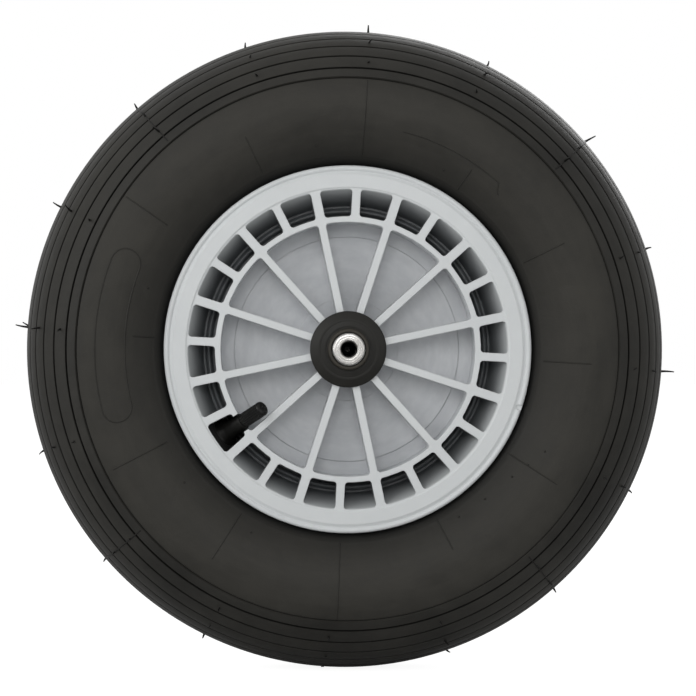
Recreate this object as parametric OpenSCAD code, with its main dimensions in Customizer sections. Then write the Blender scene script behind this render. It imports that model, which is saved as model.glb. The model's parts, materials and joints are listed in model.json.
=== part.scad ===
// Wheelbarrow wheel: air-filled tyre on a one-piece ribbed plastic rim, which turns
// on two caged roller bearings round a steel axle with a tapped hole in each end.
// The axle lies along Y and the valve side faces -Y. Every piece is drawn on a
// turning axis along Z, with the valve side up, and then laid down by place().

/* [Tyre] */
// Height of the tyre's section above the bead seat
section_h = 98.4; // [92:0.1:106]
// Width of the inflated tyre
tyre_w = 100; // [92:1:104]
// Rubber thickness at the widest place
sidewall_t = 6; // [4:0.5:8]
// Rubber thickness at the crown, ribs included
crown_t = 9; // [7:0.5:12]
// Number of grooves that run round the tread
groove_count = 13; // [7:2:13]
// Angle between two grooves, seen from the middle of the section
groove_step = 10.45; // [8:0.05:10.6]
// Width of a tread groove
groove_w = 1.5; // [0.8:0.1:2.4]
// Depth of a tread groove
groove_depth = 1.8; // [1:0.1:2.6]
// Angle of the tread's edge, seen from the middle of the section
shoulder_angle = 69.6; // [66:0.1:76]
// Height of the tread's edge above the sidewall
shoulder_step = 0.8; // [0.3:0.1:1.5]
// Width of the bead at its foot
bead_w = 8.4; // [7:0.1:9]
// Height of the bead's inner face
bead_h = 8.2; // [7:0.1:10]
// Depth of the sidewall's fold over the rim's lip
fold_depth = 3.36; // [3:0.01:5]

/* [Rim] */
// Radius of the bead seat
seat_r = 101.6; // [100:0.1:104]
// Width between the two flanges
flange_gap = 64; // [62:0.5:68]
// Height of the flange above the bead seat
flange_h = 11.6; // [9:0.1:14]
// Width of the rounded lip
lip_w = 3.5; // [2.5:0.1:4.5]
// Width of the groove inside the lip
lip_groove_w = 2; // [1:0.1:4]
// Depth of the groove inside the lip
lip_groove_depth = 1; // [0.4:0.1:1.6]
// Distance between the two faces of the rim
rim_w = 78; // [76:0.5:84]
// Depth of the ribs and the inner ring below the rim's face
rib_inset = 0.6; // [0.3:0.1:1.5]
// Wall between the bead seat and the pockets at the rim's face
pocket_wall = 3; // [2.2:0.1:4.6]
// Wall between the well and the pockets at their floor
barrel_t = 3.5; // [2.8:0.1:4.6]
// Depth of the pockets and of the web below the rim's face
web_depth = 24; // [20:0.5:28]
// Thickness of the web
web_t = 3.6; // [2.5:0.1:6]
// Height of the step in the web
web_step = 0.6; // [0.3:0.1:1.2]
// Width of the lower band of the web along the ring
web_band_w = 8.4; // [5:0.1:16]
// Width of the raised band of the web round the hub
web_boss_w = 10; // [5:0.5:18]
// Depth of the pockets between the ring and the barrel, at the rim's face
pocket_w = 16.8; // [15.6:0.1:18]
// Wall of the inner ring
ring_t = 3.4; // [2.5:0.1:5]
// Number of spokes
spoke_count = 12; // [8:1:14]
// Angle of the first spoke
spoke_angle = 11.9; // [0:0.1:15]
// Thickness of a spoke across the web
spoke_t = 4.5; // [3:0.1:6]
// Thickness of a spoke between two pockets
pocket_spoke_t = 5.6; // [3:0.1:7]
// Thickness of the short ribs between the spokes
divider_t = 5.1; // [3:0.1:7]
// Corner radius of the pockets and the web panels
corner_r = 2; // [1:0.1:3]
// Distance from the barrel wall to the crest of the rounded ridge in each pocket
ridge_inset = 3.4; // [2.9:0.1:3.6]
// Width of the rounded ridge
ridge_w = 4.6; // [3:0.1:5]
// Height of the rounded ridge above the pocket's floor
ridge_h = 3.4; // [1:0.1:5]
// Depth of the well below the bead seat
well_depth = 8.8; // [7:0.1:10]
// Wall of the hub round the race sleeve
hub_wall = 4.95; // [3.5:0.05:6]
// Width of the bite out of the lip
bite_w = 3.6; // [1:0.1:8]
// Depth of the bite out of the lip
bite_depth = 1.5; // [0.5:0.1:2.4]
// Angle of the bite out of the lip
bite_angle = -18.8; // [-40:0.1:10]

/* [Bearings and axle] */
// Diameter of the axle
axle_d = 20; // [18:0.5:21]
// Length of the axle
axle_l = 100; // [98:1:120]
// Chamfer of the axle's ends
axle_chamfer = 1; // [0.5:0.1:1.5]
// Diameter of the hole for the thread
thread_hole_d = 8.5; // [6.8:0.1:10.2]
// Depth of the threaded hole
thread_depth = 25; // [18:1:30]
// Width of the countersink round the threaded hole
countersink_w = 1.6; // [0.5:0.1:2.2]
// Bore of the race sleeve
race_d = 30; // [29:0.1:31]
// Wall of the race sleeve
race_t = 2; // [1.5:0.1:2.5]
// Length of the race sleeve
race_l = 70; // [66:0.5:70.4]
// Height of the shoulder in the middle of the race sleeve
race_shoulder = 1.4; // [0.8:0.1:2]
// Number of rollers in a cage
roller_count = 10; // [6:1:10]
// Length of a roller
roller_l = 16; // [12:0.5:16]
// Length of a roller cage
cage_l = 20.2; // [19.5:0.1:20.5]
// Thickness of a thrust washer
washer_t = 1.6; // [1:0.1:1.6]
// Rim of a thrust washer around the axle
washer_rim = 4; // [3:0.1:4.2]
// Thickness of a retaining ring
clip_t = 1.2; // [1:0.1:1.2]
// Width of a retaining ring
clip_rim = 2.6; // [2:0.1:3]
// Overhang of a hub cap past the hub
cap_overhang = 1.5; // [0.5:0.1:3]
// Thickness of a hub cap's edge
cap_edge_t = 1.6; // [1:0.1:2.4]
// Wall of the collar on a hub cap
collar_t = 2.2; // [1.5:0.1:3]
// Height of the collar above the rim's face
collar_h = 9.2; // [7:0.1:10.4]

/* [Valve] */
// Angle of the valve round the wheel
valve_angle = 214.4; // [210:0.1:218]
// Tilt of the valve out of the wheel's plane
valve_tilt = 36; // [34:0.5:38]
// Depth of the valve's seat below the rim's face
valve_inset = 16; // [15:0.1:17]
// Rim thickness that the valve is snapped into
valve_wall = 4; // [3:0.1:5]
// Diameter of the valve hole
valve_hole_d = 11.5; // [11:0.1:12]
// Radius of the valve's outer rubber flange
foot_r = 8.7; // [8:0.1:8.9]
// Radius of the valve's rubber neck
neck_r = 5.3; // [5:0.1:5.6]
// Length of the rubber above its seat
rubber_l = 18.6; // [17:0.1:20]
// Diameter of the brass stem
stem_d = 7.7; // [7.4:0.1:8]
// Length of bare stem above the rubber
stem_bare_l = 12.6; // [12:0.1:14]
// Diameter of the valve cap
valve_cap_d = 9.4; // [9.2:0.1:10.4]
// Length of the valve cap
valve_cap_l = 17.4; // [16.6:0.1:19]
// Number of flutes round the valve cap
flute_count = 18; // [10:1:20]

/* [Fits] */
// Gap of pieces that are pressed or seated together
seat_fit = 0.05; // [0.02:0.01:0.1]
// Gap of pieces that roll or slide on each other
running_fit = 0.03; // [0.01:0.01:0.08]
// Gap of pieces that move past each other
clearance = 0.4; // [0.3:0.05:0.6]

/* [Hidden] */

$fn = 96;
past = 1; // how far a cutter runs past what it cuts

// Tyre
tyre_r = seat_r + section_h;
section_r = tyre_w / 2;
tread_r = section_r + shoulder_step;
section_x = tyre_r - tread_r;
cavity_r = section_r - sidewall_t;
cavity_x = tyre_r - crown_t - cavity_r;
bead_outer_z = flange_gap / 2 - seat_fit;
bead_inner_z = bead_outer_z - bead_w;
lip_gap = 0.6; // room between the flange's lip and the tyre
lip_r = seat_r + flange_h;
fold_r = lip_r + lip_gap;
toe_r = seat_r + bead_h;

// Rim
face_z = rim_w / 2;
pocket_r = seat_r - pocket_wall;
well_r = seat_r - well_depth;
floor_r = well_r - barrel_t;
ring_r = pocket_r - pocket_w;
ridge_r = floor_r - ridge_inset;
rib_z = face_z - rib_inset;
flange_z = flange_gap / 2;
floor_z = face_z - web_depth;
web_back_z = floor_z - web_t;
ring_inner_r = ring_r - ring_t;
web_step_r = ring_inner_r - web_band_w;
mouth_land = 0.8; // straight part of a pocket's outer wall at its mouth
mouth_edge = 0.5; // flat edge between a pocket and the slope up to the face
face_edge = 0.8; // width of the small slope from the ribs up to the face
hub_edge = 0.8; // flat edge between a web panel and the top of the hub
seat_inner_z = bead_inner_z - 0.5;
well_z = floor_z - 1;
pitch = 360 / spoke_count;
hub_bore_r = race_d / 2 + race_t + seat_fit;
hub_r = hub_bore_r + hub_wall;
web_boss_r = hub_r + web_boss_w;
lip_arc = lip_w / 2;
arc_steps = 6;

// Bearings and axle
axle_r = axle_d / 2;
axle_z = axle_l / 2;
race_r = race_d / 2;
race_z = race_l / 2;
cage_outer_z = race_z - 0.8;
cage_inner_z = cage_outer_z - cage_l;
shoulder_z = cage_inner_z - clearance;
pitch_r = (axle_r + race_r) / 2;
roller_r = (race_r - axle_r) / 2 - running_fit;
roller_z = (cage_outer_z + cage_inner_z) / 2;
cage_gap = 0.5; // gap from the cage to the axle and to the race
washer_z = cage_outer_z + clearance;
clip_z = washer_z + washer_t + 0.1;
clip_groove = 0.55; // depth of the retaining ring's groove in the axle
clip_lug_r = 2;
spigot_z = race_z + 0.2;
cap_r = hub_r + cap_overhang;
cap_seat_z = face_z + seat_fit;
cap_cavity_r = race_r - 0.4;
cap_bore_r = axle_r + clearance;
collar_r = cap_bore_r + collar_t;
collar_z = face_z + collar_h;

// Valve, with its seat at height zero and its tip up
valve_z = face_z - valve_inset;
valve_r = floor_r + (valve_z - floor_z) * (pocket_r - floor_r) / (face_z - mouth_land - floor_z);
spot_r = foot_r + clearance;
boss_r = foot_r + seat_fit;
notch_r = neck_r + clearance;
notch_run = 3; // how far the notch runs past each end of the straight neck
bulb_r = 7.2;
bulb_l = 3.4;
bulb_taper = 2.6;
foot_t = 1.6;
flare_l = 10;
stem_r = stem_d / 2;
stem_foot = -3; // lower end of the brass stem
stem_top = rubber_l + stem_bare_l;
core_r = 2.6;
core_l = 10;
core_top = stem_top - 0.8;
core_foot = core_top - core_l;
chamber_r = 1.75; // room for the spring inside the core
chamber_foot = core_foot + 2.4;
core_bore_r = 0.8;
pin_r = 0.6;
pin_top = stem_top - 0.2;
pin_collar_z = pin_top - 2.2;
pin_collar_t = 0.6;
pin_collar_r = 1.5;
pin_travel = 1.2;
pin_seal_t = 1;
pin_seal_r = 1.7;
pin_seal_top = core_foot - 0.1;
pin_foot_t = 0.5;
pin_foot_top = pin_seal_top - pin_seal_t - 0.05;
air_bore_r = 2.1;
gasket_z = core_foot + 1;
gasket_h = 1.6;
spring_r = 1.2; // middle radius of the coil
wire_r = 0.16;
spring_turns = 6;
cap_foot = rubber_l + 0.3;
cap_top = cap_foot + valve_cap_l;
valve_cap_r = valve_cap_d / 2;
cap_bore_top = stem_top + 1.4;
cap_wash_t = 0.9;
cap_wash_r = 3.4;

function polar(r, a) = [r * cos(a), r * sin(a)];

// Points of an arc round a centre
function arc(centre, r, from, to, steps) =
    [for (i = [0:steps]) centre + polar(r, from + (to - from) * i / steps)];

// A corner p between two neighbours, rounded to radius r
function rounded_corner(before, p, after, r, steps) =
    let(
        u = (before - p) / norm(before - p),
        v = (after - p) / norm(after - p),
        half = acos(u * v) / 2,
        w = (u + v) / norm(u + v),
        centre = p + w * r / sin(half),
        from = atan2((p + u * r / tan(half) - centre)[1], (p + u * r / tan(half) - centre)[0]),
        to = atan2((p + v * r / tan(half) - centre)[1], (p + v * r / tan(half) - centre)[0]),
        turn = to - from > 180 ? to - from - 360 : to - from < -180 ? to - from + 360 : to - from
    )
    arc(centre, r, from, from + turn, steps);

// The side of a rib at angle a and thickness t, met at radius r; side is 1 or -1
function rib_side(a, t, r, side) = polar(r, a + side * asin(t / 2 / r));

// Outline of a core between two ribs, from radius r0 to radius r1, with round corners
function between_ribs(a0, t0, a1, t1, r0, r1, round, chords) =
    let(
        p0 = rib_side(a0, t0, r0, 1),
        p1 = rib_side(a0, t0, r1, 1),
        p2 = rib_side(a1, t1, r1, -1),
        p3 = rib_side(a1, t1, r0, -1),
        outer = [for (i = [1:chords]) polar(r1, a0 + (a1 - a0) * i / (chords + 1))],
        inner = [for (i = [chords:-1:1]) polar(r0, a0 + (a1 - a0) * i / (chords + 1))]
    )
    concat(
        rounded_corner(inner[chords - 1], p0, p1, round, 3),
        rounded_corner(p0, p1, outer[0], round, 3),
        outer,
        rounded_corner(outer[chords - 1], p2, p3, round, 3),
        rounded_corner(p2, p3, inner[0], round, 3),
        inner
    );

// Lays the turning axis down along Y, with the valve side to -Y
module place() {
    rotate([90, 0, 0]) children();
}

// The same piece on the far side of the wheel
module far_side() {
    mirror([0, 0, 1]) children();
}

// Puts a piece drawn along Z on the valve's seat
module on_valve() {
    rotate([0, 0, valve_angle])
        translate([valve_r, 0, valve_z])
            rotate([0, valve_tilt - 90, 0])
                children();
}

module ring(r_out, r_in, z0, z1) {
    translate([0, 0, z0])
        difference() {
            cylinder(r = r_out, h = z1 - z0);
            translate([0, 0, -past]) cylinder(r = r_in, h = z1 - z0 + 2 * past);
        }
}

// Height of an oval above its long axis, met by the oval at distance d from its middle
function oval_reach(d, z, half_w) = d / sqrt(1 - z * z / half_w / half_w);

// Round towards the crown, and towards the rim an oval that passes (base_r, base_z)
module casing(x, half_w, base_r, base_z) {
    reach = oval_reach(x - base_r, base_z, half_w);
    intersection() {
        translate([x, 0]) circle(r = half_w);
        translate([x, -tyre_w]) square([tyre_w, 2 * tyre_w]);
    }
    polygon([
        for (a = [90:5:270])
            [x + reach * cos(a), half_w * sin(a)]
    ]);
}

// Section of the rubber through one side of the wheel
module tyre_section() {
    difference() {
        union() {
            casing(section_x, section_r, fold_r, bead_outer_z + fold_depth);
            intersection() {
                translate([section_x, 0]) circle(r = tread_r);
                translate([section_x, 0])
                    polygon(concat([[0, 0]], arc([0, 0], tyre_w, -shoulder_angle, shoulder_angle, 6)));
            }
            translate([seat_r + seat_fit, -bead_outer_z])
                square([section_x - seat_r, 2 * bead_outer_z]);
        }
        for (side = [-1, 1])
            translate([0, side > 0 ? bead_outer_z : -bead_outer_z - tyre_w])
                square([fold_r, tyre_w]);
        translate([0, -tyre_w]) square([seat_r + seat_fit, 2 * tyre_w]);
        casing(cavity_x, cavity_r, toe_r, bead_inner_z);
        translate([0, -bead_inner_z]) square([cavity_x - past, 2 * bead_inner_z]);
        for (i = [-(groove_count - 1) / 2:(groove_count - 1) / 2])
            translate([section_x, 0])
                rotate(i * groove_step)
                    translate([tread_r - groove_depth, -groove_w / 2])
                        square([groove_depth + past, groove_w]);
    }
}

module tyre() {
    color([0.17, 0.165, 0.155])
        place() rotate_extrude() tyre_section();
}

// Outside of the rim's section on one side: bead seat, flange, lip, groove and face
function flange_outline() = concat(
    [
        [well_r, 0], [well_r, well_z], [seat_r, seat_inner_z], [seat_r, flange_z],
        [lip_r, flange_z]
    ],
    arc([lip_r - lip_arc, face_z - lip_arc], lip_arc, 0, 150, arc_steps),
    [
        [lip_r - lip_w, face_z - lip_groove_depth],
        [lip_r - lip_w - lip_groove_w / 3, face_z - 0.8 * lip_groove_depth],
        [lip_r - lip_w - lip_groove_w, face_z],
        [pocket_r + mouth_edge + face_edge, face_z], [pocket_r + mouth_edge, rib_z],
        [hub_r - hub_edge, rib_z], [hub_r - hub_edge, face_z],
        [hub_bore_r, face_z], [hub_bore_r, 0]
    ]
);

// Solid of the rim before its pockets and panels are cored out
module rim_blank() {
    rotate_extrude() polygon(flange_outline());
    far_side() rotate_extrude() polygon(flange_outline());
}

// Plan of all the cores: a web panel between two spokes and two pockets outside it
module core_plan() {
    for (i = [0:spoke_count - 1]) {
        a = spoke_angle + i * pitch;
        b = a + pitch / 2;
        c = a + pitch;
        polygon(between_ribs(a, spoke_t, c, spoke_t, hub_r, ring_inner_r, corner_r, 4));
        polygon(between_ribs(a, pocket_spoke_t, b, divider_t, ring_r, pocket_r, corner_r, 2));
        polygon(between_ribs(b, divider_t, c, pocket_spoke_t, ring_r, pocket_r, corner_r, 2));
    }
}

// Section of the steps in the front of the web and of the ridge in the pockets
function front_floor() = concat(
    [
        [hub_r - past, floor_z + web_step], [web_boss_r, floor_z + web_step],
        [web_boss_r, floor_z], [web_step_r, floor_z], [web_step_r, floor_z - web_step],
        [ring_r - ring_t / 2, floor_z - web_step], [ring_r - ring_t / 2, floor_z]
    ],
    [
        for (i = [0:arc_steps * 2])
            [ridge_r + ridge_w * (i / arc_steps - 1) / 2, floor_z + ridge_h * sin(90 * i / arc_steps)]
    ]
);

// Room that the cores fill: from the floor to the face, inside the sloping barrel wall
module core_room(floor_points) {
    top = face_z + past;
    slope = (pocket_r - floor_r) / (face_z - mouth_land - floor_z);
    rotate_extrude()
        polygon(concat(
            [[hub_r - past, top]],
            floor_points,
            [[floor_r, floor_z], [floor_r + slope * (top - floor_z), top]]
        ));
}

// Cuts for the valve: its hole, the spot face under its foot, the recess for its
// inner bulb and the open notch in the inner ring that its neck lies in
module valve_cuts() {
    on_valve() {
        translate([0, 0, -valve_wall - bulb_l * 4]) cylinder(r = bulb_r + clearance, h = bulb_l * 4);
        translate([0, 0, -valve_wall - past]) cylinder(d = valve_hole_d, h = valve_wall + 2 * past);
        cylinder(r = spot_r, h = foot_r);
        translate([0, 0, flare_l - notch_run])
            linear_extrude(height = rubber_l - flare_l + 2 * notch_run)
                polygon(concat(
                    arc([0, 0], notch_r, 90, 270, 2 * arc_steps),
                    [[foot_r * 2, -notch_r], [foot_r * 2, notch_r]]
                ));
    }
}

// A chipped place across the front lip
module lip_bite() {
    rotate([0, 0, bite_angle])
        translate([lip_r - lip_w, 0, face_z - bite_depth + bite_w / 2])
            rotate([0, 90, 0])
                cylinder(d = bite_w, h = lip_w + past);
}

module rim() {
    color([0.74, 0.75, 0.755])
        place()
            difference() {
                union() {
                    difference() {
                        rim_blank();
                        intersection() {
                            core_room(front_floor());
                            translate([0, 0, floor_z - 2 * web_step])
                                linear_extrude(height = web_depth + 2 * web_step + 2 * past) core_plan();
                        }
                        intersection() {
                            far_side() core_room([[hub_r - past, -web_back_z], [floor_r, -web_back_z]]);
                            translate([0, 0, -face_z - 2 * past])
                                linear_extrude(height = face_z + web_back_z + 3 * past) core_plan();
                        }
                    }
                    intersection() {
                        on_valve() translate([0, 0, -valve_wall]) cylinder(r = boss_r, h = valve_wall + past / 2);
                        cylinder(r = well_r, h = face_z);
                    }
                }
                valve_cuts();
                lip_bite();
            }
}

module race_sleeve() {
    color([0.62, 0.62, 0.6])
        place()
            difference() {
                ring(race_r + race_t, race_r - race_shoulder, -race_z, race_z);
                for (side = [0, 1])
                    mirror([0, 0, side])
                        translate([0, 0, shoulder_z]) cylinder(r = race_r, h = race_z);
            }
}

module hub_cap() {
    color([0.15, 0.145, 0.135])
        rotate_extrude()
            polygon([
                [cap_cavity_r, spigot_z], [hub_bore_r - seat_fit, spigot_z],
                [hub_bore_r - seat_fit, cap_seat_z], [cap_r, cap_seat_z],
                [cap_r, cap_seat_z + cap_edge_t], [cap_r - 1, cap_seat_z + cap_edge_t + 0.9],
                [(cap_r + collar_r) / 2, cap_seat_z + cap_edge_t + 2.4],
                [collar_r + 1.2, cap_seat_z + cap_edge_t + 3], [collar_r, cap_seat_z + cap_edge_t + 2.6],
                [collar_r, collar_z - 0.6], [collar_r - 0.6, collar_z],
                [cap_bore_r + 0.3, collar_z], [cap_bore_r, collar_z - 0.3],
                [cap_bore_r, cap_seat_z + 1], [cap_cavity_r, cap_seat_z]
            ]);
}

module hub_cap_front() {
    place() hub_cap();
}

module hub_cap_back() {
    place() far_side() hub_cap();
}

module roller_set(r, h) {
    for (i = [0:roller_count - 1])
        rotate([0, 0, i * 360 / roller_count])
            translate([pitch_r, 0, roller_z - h / 2])
                cylinder(r = r, h = h);
}

module bearing_cage() {
    color([0.32, 0.3, 0.26])
        difference() {
            ring(race_r - cage_gap, axle_r + cage_gap, cage_inner_z, cage_outer_z);
            roller_set(roller_r + 2 * running_fit, roller_l + clearance);
        }
}

module bearing_cage_front() {
    place() bearing_cage();
}

module bearing_cage_back() {
    place() far_side() bearing_cage();
}

module rollers_front() {
    color([0.72, 0.72, 0.7]) place() roller_set(roller_r, roller_l);
}

module rollers_back() {
    color([0.72, 0.72, 0.7]) place() far_side() roller_set(roller_r, roller_l);
}

module thrust_washer() {
    color([0.55, 0.55, 0.52])
        ring(axle_r + washer_rim, axle_r + seat_fit, washer_z, washer_z + washer_t);
}

module thrust_washer_front() {
    place() thrust_washer();
}

module thrust_washer_back() {
    place() far_side() thrust_washer();
}

// Open spring-steel ring with an eye at each end for the pliers
module retaining_ring() {
    groove_r = axle_r - clip_groove;
    lug_x = axle_r + clip_lug_r;
    lug_angle = 16;
    color([0.3, 0.3, 0.3])
        translate([0, 0, clip_z])
            difference() {
                union() {
                    cylinder(r = groove_r + clip_rim, h = clip_t);
                    for (side = [-1, 1])
                        rotate([0, 0, side * lug_angle])
                            translate([lug_x, 0, 0])
                                cylinder(r = clip_lug_r, h = clip_t);
                }
                translate([0, 0, -past]) cylinder(r = groove_r + seat_fit, h = clip_t + 2 * past);
                translate([0, -clip_rim / 2, -past]) cube([race_r, clip_rim, clip_t + 2 * past]);
                for (side = [-1, 1])
                    rotate([0, 0, side * lug_angle])
                        translate([lug_x + 0.3, 0, -past])
                            cylinder(r = clip_lug_r / 2, h = clip_t + 2 * past);
            }
}

module retaining_ring_front() {
    place() retaining_ring();
}

module retaining_ring_back() {
    place() far_side() retaining_ring();
}

// Half of the axle, from its middle to the tapped end
function axle_outline() = [
    [0, 0], [axle_r, 0], [axle_r, clip_z - seat_fit],
    [axle_r - clip_groove, clip_z - seat_fit], [axle_r - clip_groove, clip_z + clip_t + seat_fit],
    [axle_r, clip_z + clip_t + seat_fit], [axle_r, axle_z - axle_chamfer],
    [axle_r - axle_chamfer, axle_z], [thread_hole_d / 2 + countersink_w, axle_z],
    [thread_hole_d / 2, axle_z - countersink_w], [thread_hole_d / 2, axle_z - thread_depth],
    [0, axle_z - thread_depth - thread_hole_d / 2 * tan(31)]
];

module axle() {
    color([0.8, 0.79, 0.77])
        place() {
            rotate_extrude() polygon(axle_outline());
            far_side() rotate_extrude() polygon(axle_outline());
        }
}

// Snap-in rubber: inner bulb, neck through the rim, outer flange and tapering stem cover
module valve_rubber() {
    hole_r = valve_hole_d / 2 - seat_fit;
    color([0.11, 0.11, 0.105])
        place()
            on_valve()
                rotate_extrude()
                    polygon(concat(
                        [
                            [stem_r, -valve_wall - bulb_l], [bulb_r - bulb_taper, -valve_wall - bulb_l],
                            [bulb_r, -valve_wall - seat_fit], [hole_r, -valve_wall - seat_fit],
                            [hole_r, seat_fit], [foot_r, seat_fit], [foot_r, foot_t]
                        ],
                        [
                            for (i = [1:arc_steps])
                                [
                                    neck_r + (foot_r - neck_r) * (1 - sin(90 * i / arc_steps)),
                                    foot_t + (flare_l - foot_t) * (1 - cos(90 * i / arc_steps))
                                ]
                        ],
                        [[neck_r, rubber_l - 1], [neck_r - 0.6, rubber_l], [stem_r, rubber_l]]
                    ));
}

module valve_stem() {
    bore_top_r = core_r + seat_fit;
    color([0.78, 0.66, 0.36])
        place()
            on_valve()
                rotate_extrude()
                    polygon([
                        [air_bore_r, stem_foot], [stem_r - seat_fit, stem_foot],
                        [stem_r - seat_fit, stem_top - 0.5], [stem_r - 0.5, stem_top],
                        [bore_top_r, stem_top], [bore_top_r, gasket_z + gasket_h],
                        [air_bore_r, gasket_z]
                    ]);
}

// Body of the valve core, with a room for its spring
module valve_core() {
    color([0.8, 0.68, 0.38])
        place()
            on_valve()
                rotate_extrude()
                    polygon([
                        [core_bore_r, core_foot], [air_bore_r - 0.3, core_foot],
                        [air_bore_r - 0.3, gasket_z + gasket_h + 0.2], [core_r, gasket_z + gasket_h + 0.2],
                        [core_r, core_top], [chamber_r, core_top],
                        [chamber_r, chamber_foot], [core_bore_r, chamber_foot]
                    ]);
}

// Cone-shaped seal round the core
module core_gasket() {
    inner_r = air_bore_r - 0.3 + seat_fit;
    color([0.7, 0.2, 0.15])
        place()
            on_valve()
                rotate_extrude()
                    polygon([
                        [inner_r, gasket_z], [air_bore_r - seat_fit, gasket_z],
                        [core_r - seat_fit, gasket_z + gasket_h], [inner_r, gasket_z + gasket_h]
                    ]);
}

// Pin that opens the valve when it is pressed, with a collar on the spring
module valve_pin() {
    color([0.76, 0.64, 0.34])
        place()
            on_valve()
                rotate_extrude()
                    polygon([
                        [0, pin_foot_top - pin_foot_t], [pin_seal_r, pin_foot_top - pin_foot_t],
                        [pin_seal_r, pin_foot_top], [pin_r, pin_foot_top], [pin_r, pin_collar_z],
                        [pin_collar_r, pin_collar_z], [pin_collar_r, pin_collar_z + pin_collar_t],
                        [pin_r, pin_collar_z + pin_collar_t], [pin_r, pin_top], [0, pin_top]
                    ]);
}

module pin_seal() {
    color([0.12, 0.12, 0.12])
        place()
            on_valve()
                ring(pin_seal_r, pin_r + seat_fit, pin_seal_top - pin_seal_t, pin_seal_top);
}

// Coil of round wire, swept as one closed mesh
module valve_spring() {
    sides = 6;
    steps = 12 * spring_turns;
    z0 = chamber_foot + wire_r + seat_fit;
    z1 = pin_collar_z - wire_r - seat_fit;
    points = [
        for (i = [0:steps], k = [0:sides - 1])
            let(r = spring_r + wire_r * cos(360 * k / sides), a = 360 * spring_turns * i / steps)
            [r * cos(a), r * sin(a), z0 + (z1 - z0) * i / steps + wire_r * sin(360 * k / sides)]
    ];
    walls = [
        for (i = [0:steps - 1], k = [0:sides - 1])
            [i * sides + k, i * sides + (k + 1) % sides, (i + 1) * sides + (k + 1) % sides, (i + 1) * sides + k]
    ];
    foot = [[for (k = [sides - 1:-1:0]) k]];
    tip = [[for (k = [0:sides - 1]) steps * sides + k]];
    color([0.7, 0.7, 0.7])
        place() on_valve() polyhedron(points = points, faces = concat(walls, foot, tip));
}

module valve_cap() {
    flute_r = 0.5;
    color([0.1, 0.1, 0.1])
        place()
            on_valve()
                difference() {
                    rotate_extrude()
                        polygon([
                            [stem_r + seat_fit, cap_foot], [valve_cap_r, cap_foot], [valve_cap_r, cap_top - 1.6],
                            [valve_cap_r - 0.5, cap_top - 0.5], [valve_cap_r - 1.6, cap_top], [0, cap_top],
                            [0, cap_bore_top], [stem_r + seat_fit, cap_bore_top]
                        ]);
                    for (i = [0:flute_count - 1])
                        rotate([0, 0, i * 360 / flute_count])
                            translate([valve_cap_r + flute_r / 2, 0, cap_foot + 1.5])
                                cylinder(r = flute_r, h = valve_cap_l - 3.6);
                }
}

module cap_washer() {
    color([0.2, 0.2, 0.2])
        place()
            on_valve()
                translate([0, 0, cap_bore_top - cap_wash_t - seat_fit])
                    cylinder(r = cap_wash_r, h = cap_wash_t);
}

tyre();
rim();
race_sleeve();
hub_cap_front();
hub_cap_back();
bearing_cage_front();
bearing_cage_back();
rollers_front();
rollers_back();
thrust_washer_front();
thrust_washer_back();
retaining_ring_front();
retaining_ring_back();
axle();
valve_rubber();
valve_stem();
valve_core();
core_gasket();
valve_pin();
pin_seal();
valve_spring();
valve_cap();
cap_washer();
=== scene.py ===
"""Looks of a wheelbarrow wheel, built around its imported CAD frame.

Sections are drawn as (radius, height) pairs in millimetres on a turning axis with
the valve side up, as in the part's own source. lay_down() puts such a point on the
wheel's Y axis in metres, with the valve side towards -Y.
"""
import json
import logging
import math
from dataclasses import dataclass
from enum import Enum
from typing import Callable, ClassVar, Sequence

import bmesh
import bpy
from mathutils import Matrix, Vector


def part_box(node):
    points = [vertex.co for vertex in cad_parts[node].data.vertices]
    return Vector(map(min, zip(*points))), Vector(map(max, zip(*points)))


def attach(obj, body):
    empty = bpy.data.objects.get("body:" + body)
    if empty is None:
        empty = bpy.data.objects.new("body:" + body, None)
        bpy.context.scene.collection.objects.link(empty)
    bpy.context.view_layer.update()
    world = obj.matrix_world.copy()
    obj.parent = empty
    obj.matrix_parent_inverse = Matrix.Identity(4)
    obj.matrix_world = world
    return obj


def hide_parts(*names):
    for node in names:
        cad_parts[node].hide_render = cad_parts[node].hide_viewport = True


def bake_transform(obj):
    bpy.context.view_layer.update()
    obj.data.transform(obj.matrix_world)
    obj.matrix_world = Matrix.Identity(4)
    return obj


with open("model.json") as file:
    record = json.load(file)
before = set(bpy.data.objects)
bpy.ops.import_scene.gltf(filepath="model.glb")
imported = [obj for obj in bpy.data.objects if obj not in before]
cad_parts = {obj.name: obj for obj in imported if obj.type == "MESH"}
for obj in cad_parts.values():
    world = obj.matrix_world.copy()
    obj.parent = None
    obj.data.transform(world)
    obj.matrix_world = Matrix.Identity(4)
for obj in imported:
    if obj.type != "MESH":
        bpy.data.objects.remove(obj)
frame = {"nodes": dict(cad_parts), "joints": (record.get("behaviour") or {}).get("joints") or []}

LOG = logging.getLogger("wheel")
MM = 0.001
# Radius, angle and height of the middle of the valve's seat
VALVE_SEAT = (92.507, 214.4, 23.0)
ON_AXIS = 1e-6
# Most of an edge that a rounding may take up
ROUNDING_SHARE = 0.45
# Angles in degrees past which an edge of a moulded and of a very small piece stays sharp
MOULDED_SHARP = 40.0
SMALL_SHARP = 60.0
FLOAT = "NodeSocketFloat"
VECTOR = "NodeSocketVector"

Point = tuple[float, float]
Corner = tuple[float, float, float]
Colour = tuple[float, float, float, float]
Material = bpy.types.Material
Node = bpy.types.Node
Piece = bpy.types.Object
Ring = list[bmesh.types.BMVert]
Shape = bmesh.types.BMesh
Socket = bpy.types.NodeSocket
Tree = bpy.types.NodeTree


class Slot(Enum):
    """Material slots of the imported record."""

    TYRE = "tyre_rubber"
    BLACK = "black_plastic"
    STEEL = "steel"
    SPRING = "spring_steel"
    RUBBER = "black_rubber"


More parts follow.
